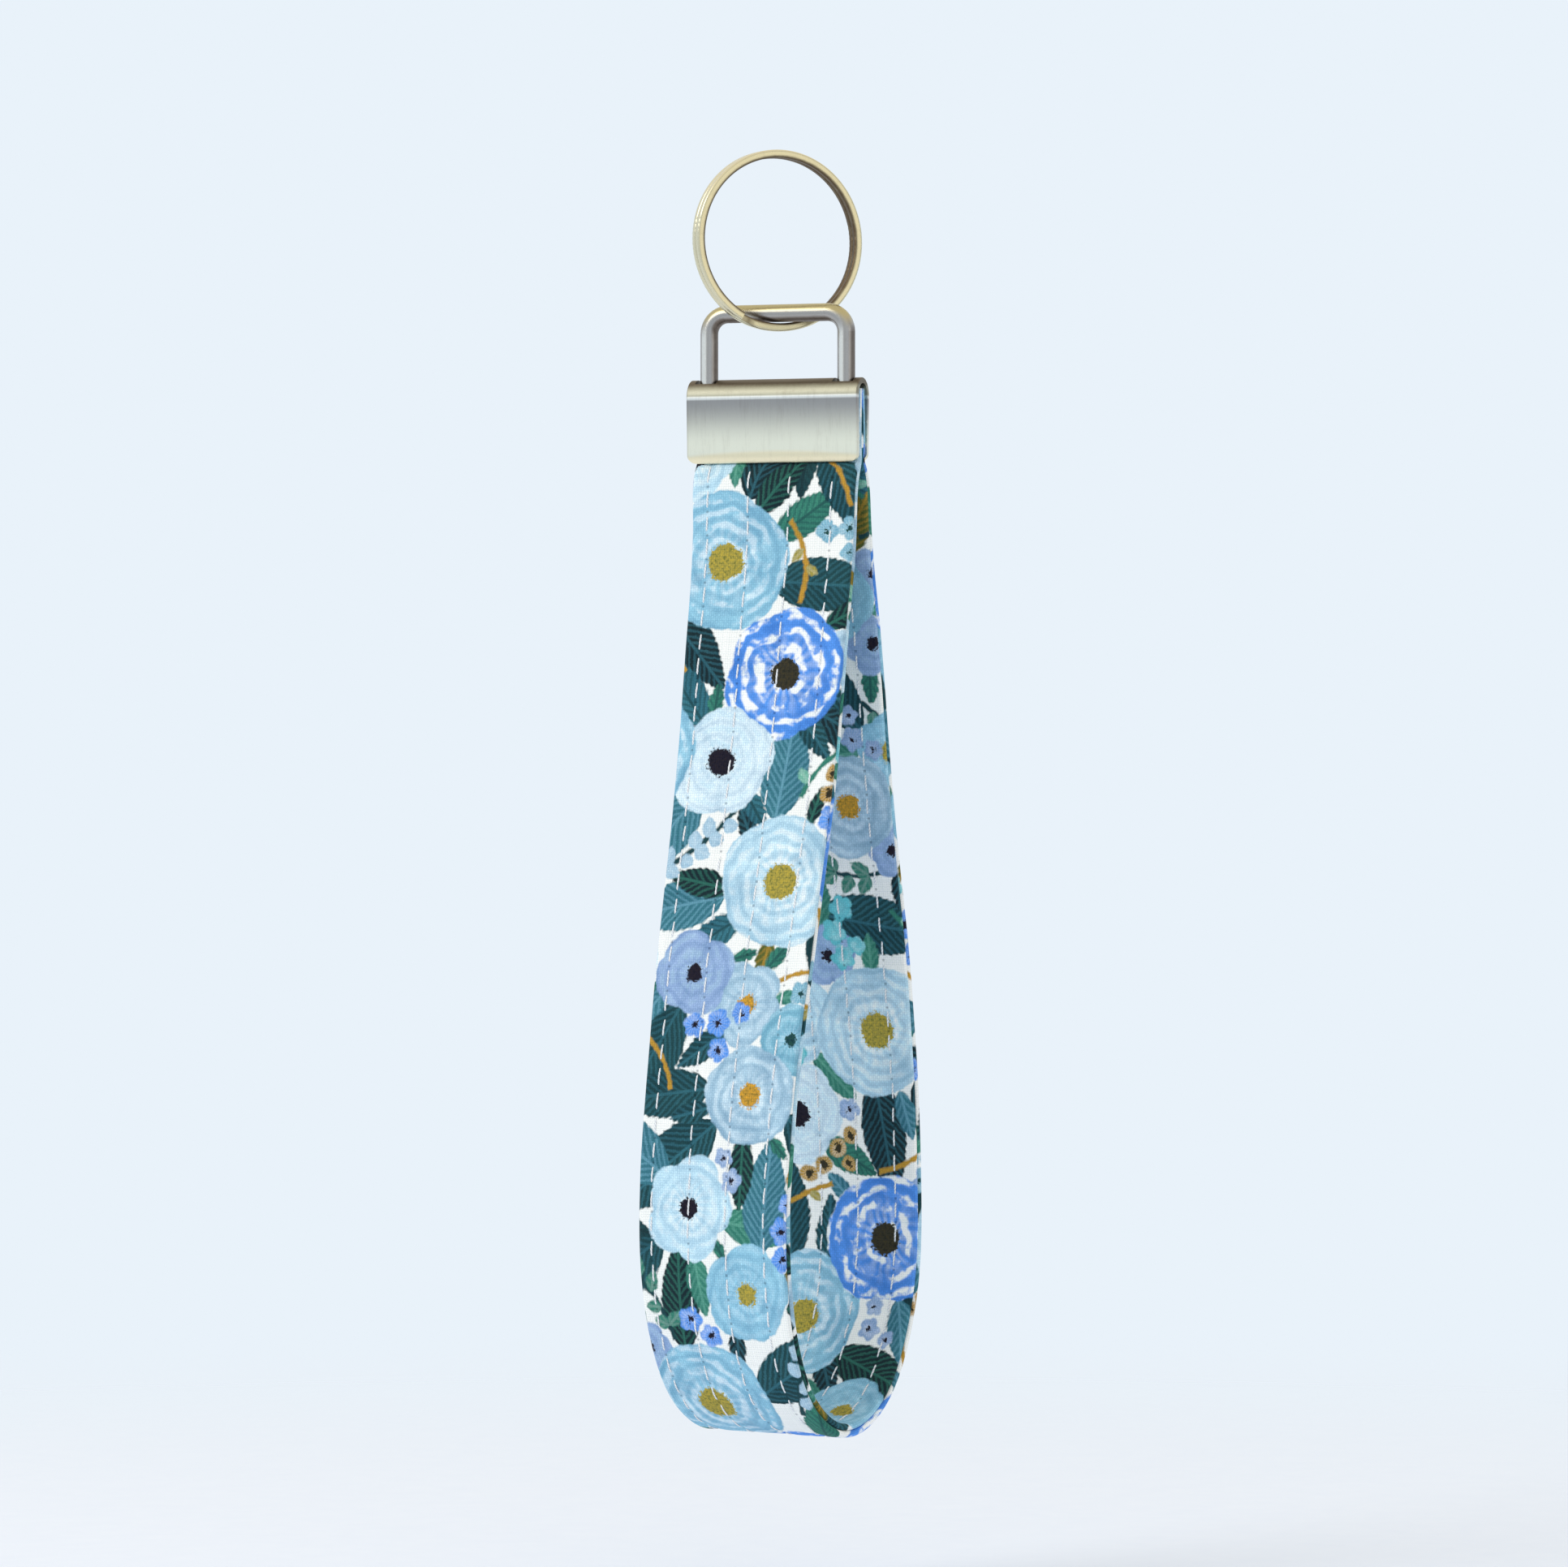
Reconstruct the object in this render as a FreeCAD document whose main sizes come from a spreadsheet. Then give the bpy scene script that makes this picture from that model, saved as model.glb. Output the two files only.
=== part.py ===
import FreeCAD, Part
import math
import os
import Sketcher

from FreeCAD import Placement, Rotation, Vector

# Wristlet key fob that hangs from its split ring.  Millimetres, +Z up.
# The origin is the centre of the split ring's bore, X runs along the width
# of the clamp, and the face that is seen first looks along -Y.

DIMENSIONS = {
    "ring_outer_dia": 25.4,      # 1 inch split ring
    "ring_wire_radial": 1.15,
    "ring_turn_axial": 1.05,
    "ring_turn_gap": 0.08,
    "ring_corner": 0.30,
    "ring_yaw": 45.0,            # the ring stands across the bail at this angle
    "ring_cut_angle": 28.0,      # cut ends, each side of straight down
    "bail_wire_dia": 2.5,
    "bail_width": 22.9,
    "bail_bend": 2.75,           # centre-line radius of the upper corners
    "bail_low_bend": 1.6,        # and of the lower ones, inside the clamp
    "bail_top": -10.15,          # height of the top bar's centre
    "bail_low": -21.55,          # height of the hidden bar's centre
    "bail_slit": 0.12,
    "clamp_width": 25.4,
    "clamp_top": -19.35,
    "roll_radius": 2.6,
    "sheet_gauge": 0.8,
    "plate_foot": -29.8,         # where the flat plate ends and the lip starts
    "plate_half": 2.35,          # half thickness of the clamp there
    "lip_radius": 2.2,
    "lip_turn": 38.0,
    "slot_width": 3.1,
    "slot_half": 1.65,
    "corner_round": 1.3,
    "rib_height": 0.2,
    "rim_round": 0.15,
    "strap_width": 24.4,
    "strap_gauge": 2.0,
    "cover_gauge": 0.5,
    "edge_slit": 0.1,
    "core_gap": 0.05,
    "thread_wide": 0.45,
    "thread_high": 0.12,
}

# Centre line of the hanging strap from the clamp's mouth to the lowest point:
# distance from the clamp's middle plane, height, turn about Z, shift along X.
ROUTE = [
    (1.30, -32.15, 0.0, 0.40),
    (2.75, -39.0, -2.6, 0.62),
    (5.05, -52.5, -4.4, 0.85),
    (7.90, -69.0, -5.2, 0.90),
    (11.20, -86.0, -6.8, 0.90),
    (14.20, -102.0, -9.2, 0.85),
    (16.30, -119.0, -11.6, 0.70),
    (17.10, -134.0, -12.9, 0.50),
    (16.00, -146.5, -13.8, 0.45),
    (12.90, -155.5, -14.8, 0.40),
    (7.60, -162.8, -15.8, 0.40),
    (0.00, -165.9, -16.4, 0.40),
]

# The strap's end in the clamp: distance from the middle plane, height, gauge.
TAIL = [
    (0.80, -24.2, 1.50),
    (0.80, -25.6, 1.50),
    (0.71, -29.3, 1.34),
    (0.60, -30.3, 1.12),
    (0.60, -30.8, 1.12),
    (0.66, -31.1, 1.24),
]

# The loop is drawn through this many stations, each face spanning a few of them.
STATIONS = 33
FACE_SPAN = 4

# Stitch rows across the strap, from its folded edge, as parts of the width.
ROWS = [0.10, 0.35, 0.60, 0.86]

doc = FreeCAD.newDocument("wristlet_keychain")
sheet = doc.addObject("Spreadsheet::Sheet", "sizes")
nodes = []


def fill_sheet():
    row = 1
    for name, number in DIMENSIONS.items():
        sheet.set("A%d" % row, name)
        sheet.set("B%d" % row, str(number))
        sheet.setAlias("B%d" % row, name)
        row += 1
    doc.recompute()


def size(name):
    return float(sheet.get(name))


def keep(node, label):
    node.Label = label
    nodes.append(node)
    return node


def plane(body, role):
    for feature in body.Origin.OriginFeatures:
        if feature.Role == role:
            return feature
    raise ValueError(role)


def sketch_on(body, name, role):
    sketch = body.newObject("Sketcher::SketchObject", name)
    sketch.AttachmentSupport = [(plane(body, role), "")]
    sketch.MapMode = "FlatFace"
    return sketch


def primitive(kind, name, sizes, base, rotation):
    item = doc.addObject(kind, name)
    for prop, expression in sizes.items():
        item.setExpression(prop, expression)
    item.Placement = Placement(Vector(0, 0, 0), rotation)
    for axis, expression in zip("xyz", base):
        item.setExpression("Placement.Base." + axis, expression)
    return item


# ---------------------------------------------------------------- split ring

def ring_section(angle, middle):
    """Rounded wire section in the plane through the ring's axis."""
    inner = size("ring_outer_dia") / 2 - size("ring_wire_radial")
    outer = size("ring_outer_dia") / 2
    low = middle - size("ring_turn_axial") / 2
    high = middle + size("ring_turn_axial") / 2
    r = size("ring_corner")
    c = r * (1 - math.sqrt(0.5))
    turn = Rotation(Vector(0, 0, 1), angle)

    def at(x, z):
        return turn.multVec(Vector(x, 0, z))

    edges = [
        Part.LineSegment(at(inner + r, low), at(outer - r, low)).toShape(),
        Part.Arc(at(outer - r, low), at(outer - c, low + c), at(outer, low + r)).toShape(),
        Part.LineSegment(at(outer, low + r), at(outer, high - r)).toShape(),
        Part.Arc(at(outer, high - r), at(outer - c, high - c), at(outer - r, high)).toShape(),
        Part.LineSegment(at(outer - r, high), at(inner + r, high)).toShape(),
        Part.Arc(at(inner + r, high), at(inner + c, high - c), at(inner, high - r)).toShape(),
        Part.LineSegment(at(inner, high - r), at(inner, low + r)).toShape(),
        Part.Arc(at(inner, low + r), at(inner + c, low + c), at(inner + r, low)).toShape(),
    ]
    return Part.Wire(edges)


def make_split_ring():
    """One wire wound twice: two turns side by side and one cross-over below."""
    step = (size("ring_turn_axial") + size("ring_turn_gap")) / 2
    cut = size("ring_cut_angle")
    start = -90 + cut
    sweep = 360 - 2 * cut
    axis = Vector(0, 0, 1)
    turns = []
    for middle in (step, -step):
        face = Part.Face(ring_section(start, middle))
        turns.append(face.revolve(Vector(0, 0, 0), axis, sweep))
    wires = []
    count = 8
    for i in range(count + 1):
        part = i / count
        ease = part * part * (3 - 2 * part)
        wires.append(ring_section(-90 - cut + 2 * cut * part, -step + 2 * step * ease))
    crossing = Part.makeLoft(wires, True, False)
    coil = turns[0].fuse([turns[1], crossing]).removeSplitter()
    ring = doc.addObject("Part::Feature", "split_ring")
    ring.Shape = coil.Solids[0]
    stand = Rotation(Vector(0, 0, 1), size("ring_yaw"))
    ring.Placement = Placement(Vector(0, 0, 0), stand * Rotation(Vector(1, 0, 0), 90))
    return keep(ring, "split_ring")


# ---------------------------------------------------------------------- bail

def make_bail():
    """Rectangular wire loop; its lower bar turns in the clamp's roll."""
    wire = "sizes.bail_wire_dia / 2"
    reach = "(sizes.bail_width - sizes.bail_wire_dia) / 2"
    along_x = Rotation(Vector(0, 1, 0), 90)
    pieces = []
    bars = [
        ("bail_top_bar", "sizes.bail_top", "sizes.bail_bend"),
        ("bail_low_bar", "sizes.bail_low", "sizes.bail_low_bend"),
    ]
    for name, height, bend in bars:
        sizes = {"Radius": wire, "Height": "2 * (%s - %s)" % (reach, bend)}
        base = ("-(%s - %s)" % (reach, bend), "0", height)
        pieces.append(primitive("Part::Cylinder", name, sizes, base, along_x))
    long = "sizes.bail_top - sizes.bail_low - sizes.bail_bend - sizes.bail_low_bend"
    for name, side in (("bail_leg_left", "-1"), ("bail_leg_right", "1")):
        sizes = {"Radius": wire, "Height": long}
        base = ("%s * %s" % (side, reach), "0", "sizes.bail_low + sizes.bail_low_bend")
        pieces.append(primitive("Part::Cylinder", name, sizes, base, Rotation()))
    corners = [
        ("bail_bend_top_right", 0, "1", "sizes.bail_top - sizes.bail_bend"),
        ("bail_bend_top_left", 90, "-1", "sizes.bail_top - sizes.bail_bend"),
        ("bail_bend_low_left", 180, "-1", "sizes.bail_low + sizes.bail_low_bend"),
        ("bail_bend_low_right", 270, "1", "sizes.bail_low + sizes.bail_low_bend"),
    ]
    for name, turn, side, height in corners:
        bend = "sizes.bail_bend" if turn < 180 else "sizes.bail_low_bend"
        rotation = Rotation(Vector(1, 0, 0), 90) * Rotation(Vector(0, 0, 1), turn)
        base = ("%s * (%s - %s)" % (side, reach, bend), "0", height)
        corner = primitive("Part::Torus", name, {"Radius1": bend, "Radius2": wire}, base, rotation)
        corner.Angle3 = 90
        pieces.append(corner)
    loop = doc.addObject("Part::MultiFuse", "bail_loop")
    loop.Shapes = pieces
    loop.Refine = True
    base = ("-sizes.bail_slit / 2", "-sizes.bail_wire_dia", "sizes.bail_low - sizes.bail_wire_dia")
    sizes = {
        "Length": "sizes.bail_slit",
        "Width": "2 * sizes.bail_wire_dia",
        "Height": "2 * sizes.bail_wire_dia",
    }
    slit = primitive("Part::Box", "bail_slit_tool", sizes, base, Rotation())
    bail = doc.addObject("Part::Cut", "bail")
    bail.Base = loop
    bail.Tool = slit
    return keep(bail, "bail")


# --------------------------------------------------------------------- clamp

def plate_side(side):
    """Points of one half of the folded sheet, seen along X, on side -1 or 1."""
    roll = size("roll_radius")
    gauge = size("sheet_gauge")
    centre = size("clamp_top") - roll
    foot = size("plate_foot")
    half = size("plate_half")
    turn = math.radians(size("lip_turn"))
    bend = size("lip_radius")
    pivot = Vector(side * (half - bend), foot, 0)

    def on_lip(radius, angle):
        return pivot + Vector(side * radius * math.cos(angle), -radius * math.sin(angle), 0)

    outer = {
        "roll": Vector(side * roll, centre, 0),
        "foot": Vector(side * half, foot, 0),
        "mid": on_lip(bend, turn / 2),
        "tip": on_lip(bend, turn),
    }
    inner = {
        "roll": Vector(side * (roll - gauge), centre, 0),
        "foot": Vector(side * (half - gauge), foot, 0),
        "mid": on_lip(bend - gauge, turn / 2),
        "tip": on_lip(bend - gauge, turn),
    }
    return outer, inner


def rib_points(top, foot, side):
    """Two gripping ribs, rolled into the inner face of a plate."""
    points = []
    for part in (0.45, 0.72):
        for shift, height in ((-0.04, 0.0), (0.0, size("rib_height")), (0.04, 0.0)):
            spot = top + (foot - top) * (part + shift)
            points.append(spot - Vector(side * height, 0, 0))
    return points


def clamp_profile(sketch):
    """Closed outline of the sheet folded over the bail."""
    roll = size("roll_radius")
    gauge = size("sheet_gauge")
    centre = Vector(0, size("clamp_top") - roll, 0)
    left_out, left_in = plate_side(-1)
    right_out, right_in = plate_side(1)
    parts = []
    crown = centre + Vector(0, roll, 0)
    hollow = centre + Vector(0, roll - gauge, 0)
    parts.append(Part.Arc(left_out["roll"], crown, right_out["roll"]))
    parts.append(Part.LineSegment(right_out["roll"], right_out["foot"]))
    parts.append(Part.Arc(right_out["foot"], right_out["mid"], right_out["tip"]))
    parts.append(Part.LineSegment(right_out["tip"], right_in["tip"]))
    parts.append(Part.Arc(right_in["tip"], right_in["mid"], right_in["foot"]))
    line = [right_in["foot"]] + rib_points(right_in["roll"], right_in["foot"], 1)[::-1]
    line.append(right_in["roll"])
    parts += [Part.LineSegment(a, b) for a, b in zip(line, line[1:])]
    parts.append(Part.Arc(right_in["roll"], hollow, left_in["roll"]))
    line = [left_in["roll"]] + rib_points(left_in["roll"], left_in["foot"], -1)
    line.append(left_in["foot"])
    parts += [Part.LineSegment(a, b) for a, b in zip(line, line[1:])]
    parts.append(Part.Arc(left_in["foot"], left_in["mid"], left_in["tip"]))
    parts.append(Part.LineSegment(left_in["tip"], left_out["tip"]))
    parts.append(Part.Arc(left_out["tip"], left_out["mid"], left_out["foot"]))
    parts.append(Part.LineSegment(left_out["foot"], left_out["roll"]))
    sketch.addGeometry(parts, False)
    radius = sketch.addConstraint(Sketcher.Constraint("Radius", 0, roll))
    sketch.setExpression("Constraints[%d]" % radius, "sizes.roll_radius")


def slot_outlines(sketch):
    """One rectangular slot in the fold for each leg of the bail."""
    reach = (size("bail_width") - size("bail_wire_dia")) / 2
    half = size("slot_width") / 2
    deep = size("slot_half")
    for side in (-1, 1):
        x = side * reach
        spots = [
            Vector(x - half, -deep, 0),
            Vector(x + half, -deep, 0),
            Vector(x + half, deep, 0),
            Vector(x - half, deep, 0),
        ]
        ring = spots + spots[:1]
        sketch.addGeometry([Part.LineSegment(a, b) for a, b in zip(ring, ring[1:])], False)


def corner_outlines(sketch):
    """What is taken off the lower corners of both plates."""
    half = size("clamp_width") / 2
    r = size("corner_round")
    out, _ = plate_side(1)
    low = out["tip"].y
    c = r * (1 - math.sqrt(0.5))
    for side in (-1, 1):
        start = Vector(side * half, low + r, 0)
        end = Vector(side * (half - r), low, 0)
        middle = Vector(side * (half - c), low + c, 0)
        below = Vector(side * (half - r), low - 1, 0)
        beyond = Vector(side * (half + 1), low - 1, 0)
        beside = Vector(side * (half + 1), low + r, 0)
        parts = [Part.Arc(start, middle, end)]
        line = [end, below, beyond, beside, start]
        parts += [Part.LineSegment(a, b) for a, b in zip(line, line[1:])]
        sketch.addGeometry(parts, False)


def rim_edges(shape):
    """Edges of the outer skin at both ends of the clamp."""
    half = size("clamp_width") / 2
    names = []
    for number, edge in enumerate(shape.Edges, 1):
        box = edge.BoundBox
        at_end = abs(abs(box.XMin) - half) < 1e-4 and box.XLength < 1e-4
        reach = max(abs(box.YMin), abs(box.YMax))
        long_enough = edge.Length > 2.0
        if at_end and long_enough and reach > size("plate_half") - 1e-3:
            names.append("Edge%d" % number)
    return names


def make_clamp():
    body = doc.addObject("PartDesign::Body", "clamp")
    profile = sketch_on(body, "clamp_profile", "YZ_Plane")
    clamp_profile(profile)
    pad = body.newObject("PartDesign::Pad", "clamp_sheet")
    pad.Profile = profile
    pad.Midplane = True
    pad.setExpression("Length", "sizes.clamp_width")
    doc.recompute()
    whole = body.Shape.Volume
    slots = sketch_on(body, "clamp_slots", "XY_Plane")
    slot_outlines(slots)
    slots.AttachmentOffset = Placement(Vector(0, 0, size("clamp_top") + 0.5), Rotation())
    cut = body.newObject("PartDesign::Pocket", "clamp_slot_cut")
    cut.Profile = slots
    cut.setExpression("Length", "sizes.roll_radius + 0.5")
    doc.recompute()
    slotted = body.Shape.Volume
    soften = body.newObject("PartDesign::Fillet", "clamp_rim")
    soften.Base = (cut, rim_edges(cut.Shape))
    soften.setExpression("Radius", "sizes.rim_round")
    doc.recompute()
    corners = sketch_on(body, "clamp_corners", "XZ_Plane")
    corner_outlines(corners)
    trim = body.newObject("PartDesign::Pocket", "clamp_corner_cut")
    trim.Profile = corners
    trim.Midplane = True
    trim.setExpression("Length", "4 * sizes.roll_radius")
    body.Tip = trim
    doc.recompute()
    print("clamp volume", round(whole, 1), round(slotted, 1), round(body.Shape.Volume, 1))
    return keep(body, "clamp")


# --------------------------------------------------------------------- strap

def loop_curve():
    """Smooth centre line, side distance against height, over the whole loop."""
    down = [Vector(q, z, 0) for q, z, _, _ in ROUTE]
    up = [Vector(-p.x, p.y, 0) for p in reversed(down[:-1])]
    curve = Part.BSplineCurve()
    curve.interpolate(down + up)
    return curve


def along_height(z, column):
    """Turn or shift of the strap at a height, straight between the stations."""
    rows = [(row[1], row[column]) for row in ROUTE]
    if z >= rows[0][0]:
        return rows[0][1]
    for (high, first), (low, last) in zip(rows, rows[1:]):
        if z >= low:
            part = (high - z) / (high - low)
            part = part * part * (3 - 2 * part) * 0.3 + part * 0.7
            return first + (last - first) * part
    return rows[-1][1]


def loop_stations(count):
    """Centre, width direction and outward normal at even steps of the loop."""
    curve = loop_curve()
    stations = []
    for point_at in curve.discretize(Number=count):
        parameter = curve.parameter(point_at)
        tangent = Vector(curve.tangent(parameter)[0])
        q, z = point_at.x, point_at.y
        turn = math.radians(along_height(z, 2))
        shift = along_height(z, 3)
        wide = Vector(math.cos(turn), math.sin(turn), 0)
        ahead = Vector(math.sin(turn), -math.cos(turn), 0)
        centre = Vector(shift, 0, z) + ahead * q
        outward = ahead * -tangent.y + Vector(0, 0, 1) * tangent.x
        stations.append((centre, wide, outward.normalize(), 1.0))
    return stations


def tail_stations(side):
    """The same for one end of the strap inside the clamp; side 1 is in front."""
    shift = ROUTE[0][3]
    stations = []
    for q, z, gauge in TAIL:
        outward = Vector(0, -side, 0)
        centre = Vector(shift, 0, z) + outward * q
        stations.append((centre, Vector(1, 0, 0), outward, gauge / size("strap_gauge")))
    return stations


def wrap_straight(stations, outline):
    """The same with straight sides from station to station."""
    wires = []
    for centre, wide, outward, squeeze in stations:
        spots = [centre + wide * u + outward * v * squeeze for u, v in outline]
        wires.append(Part.makePolygon(spots + spots[:1]))
    return Part.makeLoft(wires, True, True)


def wrap(stations, outline):
    """Solid whose corners follow one outline (across, outward) of every station."""
    last = len(stations) - 1
    rails = []
    for u, v in outline:
        spots = [c + wide * u + out * v * squeeze for c, wide, out, squeeze in stations]
        rail = Part.BSplineCurve()
        rail.interpolate(Points=spots, Parameters=[float(i) for i in range(last + 1)])
        rails.append(rail)
    faces = []
    for a, b in zip(rails, rails[1:] + rails[:1]):
        for start in range(0, last, FACE_SPAN):
            end = min(start + FACE_SPAN, last)
            faces.append(Part.makeRuledSurface(Part.Edge(a, start, end), Part.Edge(b, start, end)))
    for end in (0, last):
        corners = [rail.value(end) for rail in rails]
        faces.append(Part.Face(Part.makePolygon(corners + corners[:1])))
    shell = Part.makeShell(faces)
    shell.sewShape()
    solid = Part.makeSolid(shell)
    return solid if solid.Volume > 0 else solid.reversed()


def cover_outline():
    """Fabric folded round the core, its two turned edges meeting at +X."""
    u = size("strap_width") / 2
    v = size("strap_gauge") / 2
    a = u - size("cover_gauge")
    b = v - size("cover_gauge")
    s = size("edge_slit") / 2
    outer = [(u, s), (u, v), (-u, v), (-u, -v), (u, -v), (u, -s)]
    inner = [(a, -s), (a, -b), (-a, -b), (-a, b), (a, b), (a, s)]
    return outer + inner


def core_outline():
    gap = size("cover_gauge") + size("core_gap")
    u = size("strap_width") / 2 - gap
    v = size("strap_gauge") / 2 - gap
    return [(u, -v), (u, v), (-u, v), (-u, -v)]


def thread_outline(row, side):
    """Band on the outer (1) or inner (-1) face of the strap."""
    middle = size("strap_width") * (ROWS[row] - 0.5)
    half = size("thread_wide") / 2
    face = size("strap_gauge") / 2
    low, high = sorted((side * face, side * (face + size("thread_high"))))
    return [(middle + half, low), (middle + half, high), (middle - half, high), (middle - half, low)]


def strap_piece(name, shape):
    item = doc.addObject("Part::Feature", name)
    item.Shape = shape
    item.Placement = Placement()
    return keep(item, name)


def make_strap():
    loop = loop_stations(STATIONS)
    tails = [tail_stations(1), tail_stations(-1)]
    strap_piece("strap_cover_loop", wrap(loop, cover_outline()))
    strap_piece("strap_core_loop", wrap(loop, core_outline()))
    covers = [wrap_straight(tail, cover_outline()) for tail in tails]
    cores = [wrap_straight(tail, core_outline()) for tail in tails]
    strap_piece("strap_cover_tails", Part.makeCompound(covers))
    strap_piece("strap_core_tails", Part.makeCompound(cores))
    for row in range(len(ROWS)):
        needle = wrap(loop, thread_outline(row, 1))
        bobbin = wrap(loop, thread_outline(row, -1))
        strap_piece("needle_thread_%d" % (row + 1), needle)
        strap_piece("bobbin_thread_%d" % (row + 1), bobbin)


# --------------------------------------------------------------------- write

def check():
    doc.recompute()
    for item in doc.Objects:
        if "Invalid" in item.State or "Error" in item.State:
            raise RuntimeError("failed: " + item.Name)
    for node in nodes:
        if node.Shape.isNull() or not node.Shape.isValid():
            raise RuntimeError("bad shape: " + node.Label)
        box = node.Shape.BoundBox
        print("%-20s solids %d volume %9.2f  x %7.2f %7.2f  y %7.2f %7.2f  z %8.2f %8.2f" % (
            node.Label, len(node.Shape.Solids), node.Shape.Volume,
            box.XMin, box.XMax, box.YMin, box.YMax, box.ZMin, box.ZMax))


def write():
    os.makedirs("parts", exist_ok=True)
    for node in nodes:
        node.Shape.exportStep(os.path.join("parts", node.Label + ".step"))


fill_sheet()
make_split_ring()
make_bail()
make_clamp()
make_strap()
check()
write()
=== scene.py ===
import math

import bpy
import numpy as np
from mathutils import Matrix, Vector


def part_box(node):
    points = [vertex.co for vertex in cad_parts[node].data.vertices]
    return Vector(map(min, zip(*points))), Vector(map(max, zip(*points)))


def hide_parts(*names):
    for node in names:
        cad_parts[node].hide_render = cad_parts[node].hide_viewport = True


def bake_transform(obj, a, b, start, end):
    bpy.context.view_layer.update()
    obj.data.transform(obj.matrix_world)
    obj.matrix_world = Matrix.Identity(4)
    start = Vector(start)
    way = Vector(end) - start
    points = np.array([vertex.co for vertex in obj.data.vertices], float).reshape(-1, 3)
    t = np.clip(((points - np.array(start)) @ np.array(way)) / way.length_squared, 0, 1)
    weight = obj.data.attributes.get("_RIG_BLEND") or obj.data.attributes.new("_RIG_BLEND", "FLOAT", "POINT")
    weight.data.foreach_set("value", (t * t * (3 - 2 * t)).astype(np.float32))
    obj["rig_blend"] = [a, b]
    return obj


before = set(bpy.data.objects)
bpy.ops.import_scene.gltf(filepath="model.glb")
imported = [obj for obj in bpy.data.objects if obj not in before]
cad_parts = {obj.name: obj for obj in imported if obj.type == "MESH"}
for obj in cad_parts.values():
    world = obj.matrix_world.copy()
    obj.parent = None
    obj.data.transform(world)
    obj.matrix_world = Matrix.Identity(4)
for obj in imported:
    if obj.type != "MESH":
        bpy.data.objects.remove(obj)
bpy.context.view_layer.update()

# Lengths along the strap, across it and through it are in millimetres until a mesh is
# made, which turns them into metres.
MM = 0.001

# ---- the strap's route
# The same stations as the CAD: distance from the middle plane, height, turn about the
# vertical in degrees, and shift along X, from the clamp's mouth to the lowest point.
ROUTE = [
    (1.30, -32.15, 0.0, 0.40),
    (2.75, -39.0, -2.6, 0.62),
    (5.05, -52.5, -4.4, 0.85),
    (7.90, -69.0, -5.2, 0.90),
    (11.20, -86.0, -6.8, 0.90),
    (14.20, -102.0, -9.2, 0.85),
    (16.30, -119.0, -11.6, 0.70),
    (17.10, -134.0, -12.9, 0.50),
    (16.00, -146.5, -13.8, 0.45),
    (12.90, -155.5, -14.8, 0.40),
    (7.60, -162.8, -15.8, 0.40),
    (0.00, -165.9, -16.4, 0.40),
]
# The end inside the clamp: distance from the middle plane, and height.
TAIL = [(0.80, -24.2), (0.80, -25.6), (0.71, -29.3), (0.60, -30.3), (0.60, -30.8), (0.66, -31.1)]
MOUTH = -31.1
# Thickness against height, as a share of the free strap's.
PINCH = [(-24.2, 0.75), (-25.6, 0.75), (-29.3, 0.67), (-30.3, 0.56)]
PINCH += [(-31.1, 0.60), (-32.1, 0.86), (-33.6, 1.0)]

WIDTH = 24.4
HALF = WIDTH / 2
# Stitch rows across the strap, and the length of one stitch.
ROWS = [(share - 0.5) * WIDTH for share in (0.10, 0.35, 0.60, 0.86)]
STITCH = 3.4
# Distance between the mesh's rings along the strap, and radius of the -X edge's fold.
STEP = 0.5
FOLD = 1.0
# Points of the spline that the steps are measured on, and steps that the turn is evened over.
FINE_POINTS = 8001
TWIST_WINDOW = 15
# The quilting: half the free strap's thickness, then how deep a stitch row, a needle hole
# and the puckers beside a row are and how far they reach, and what is uneven everywhere.
SWELL = 1.02
ROW_DIP, ROW_REACH = 0.15, 0.95
HOLE_DIP, HOLE_REACH = 0.10, 0.55
PUCKER, PUCKER_REACH = 0.10, 1.7
UNEVEN = 0.05
# How far the whole strap strays from its plane, slowly and more quickly.
SLOW_WAVE, QUICK_WAVE = 0.34, 0.12


def smooth(share):
    share = np.clip(share, 0, 1)
    return share * share * (3 - 2 * share)


def hump(offset, width):
    """1 at no offset, falling off over about a width."""
    return np.exp(-((offset / width) ** 2))


def lattice_noise(a, b, seed):
    """Smooth noise from 0 to 1 over two coordinates, with features about one unit wide."""
    side = 128
    grid = np.random.default_rng(seed).random((side, side))
    i, j = np.floor(a).astype(int), np.floor(b).astype(int)
    f, g = smooth(a - i), smooth(b - j)

    def row(m):
        return grid[i % side, (j + m) % side] * (1 - f) + grid[(i + 1) % side, (j + m) % side] * f

    return row(0) * (1 - g) + row(1) * g


def spline(knots, values, spots):
    """Cubic spline with free ends through values at knots, read at spots."""
    gaps = np.diff(knots)
    count = len(knots)
    system = np.eye(count)
    for i in range(1, count - 1):
        system[i, i - 1 : i + 2] = gaps[i - 1], 2 * (gaps[i - 1] + gaps[i]), gaps[i]
    right = np.zeros((count, values.shape[1]))
    right[1:-1] = 6 * np.diff(np.diff(values, axis=0) / gaps[:, None], axis=0)
    bend = np.linalg.solve(system, right)
    i = np.clip(np.searchsorted(knots, spots) - 1, 0, count - 2)
    h = gaps[i][:, None]
    a = (knots[i + 1] - spots)[:, None]
    b = (spots - knots[i])[:, None]
    curved = (bend[i] * a**3 + bend[i + 1] * b**3) / (6 * h)
    straight = (values[i] / h - bend[i] * h / 6) * a + (values[i + 1] / h - bend[i + 1] * h / 6) * b
    return curved + straight


def settle(values, width):
    """Running average over an odd number of samples."""
    window = np.hanning(width + 2)[1:-1]
    padded = np.pad(values, width // 2, mode="edge")
    return np.convolve(padded, window / window.sum(), mode="valid")


def arrow(angle):
    """A step of one millimetre in a direction on the cloth."""
    return np.array([math.cos(angle), math.sin(angle)])


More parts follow.
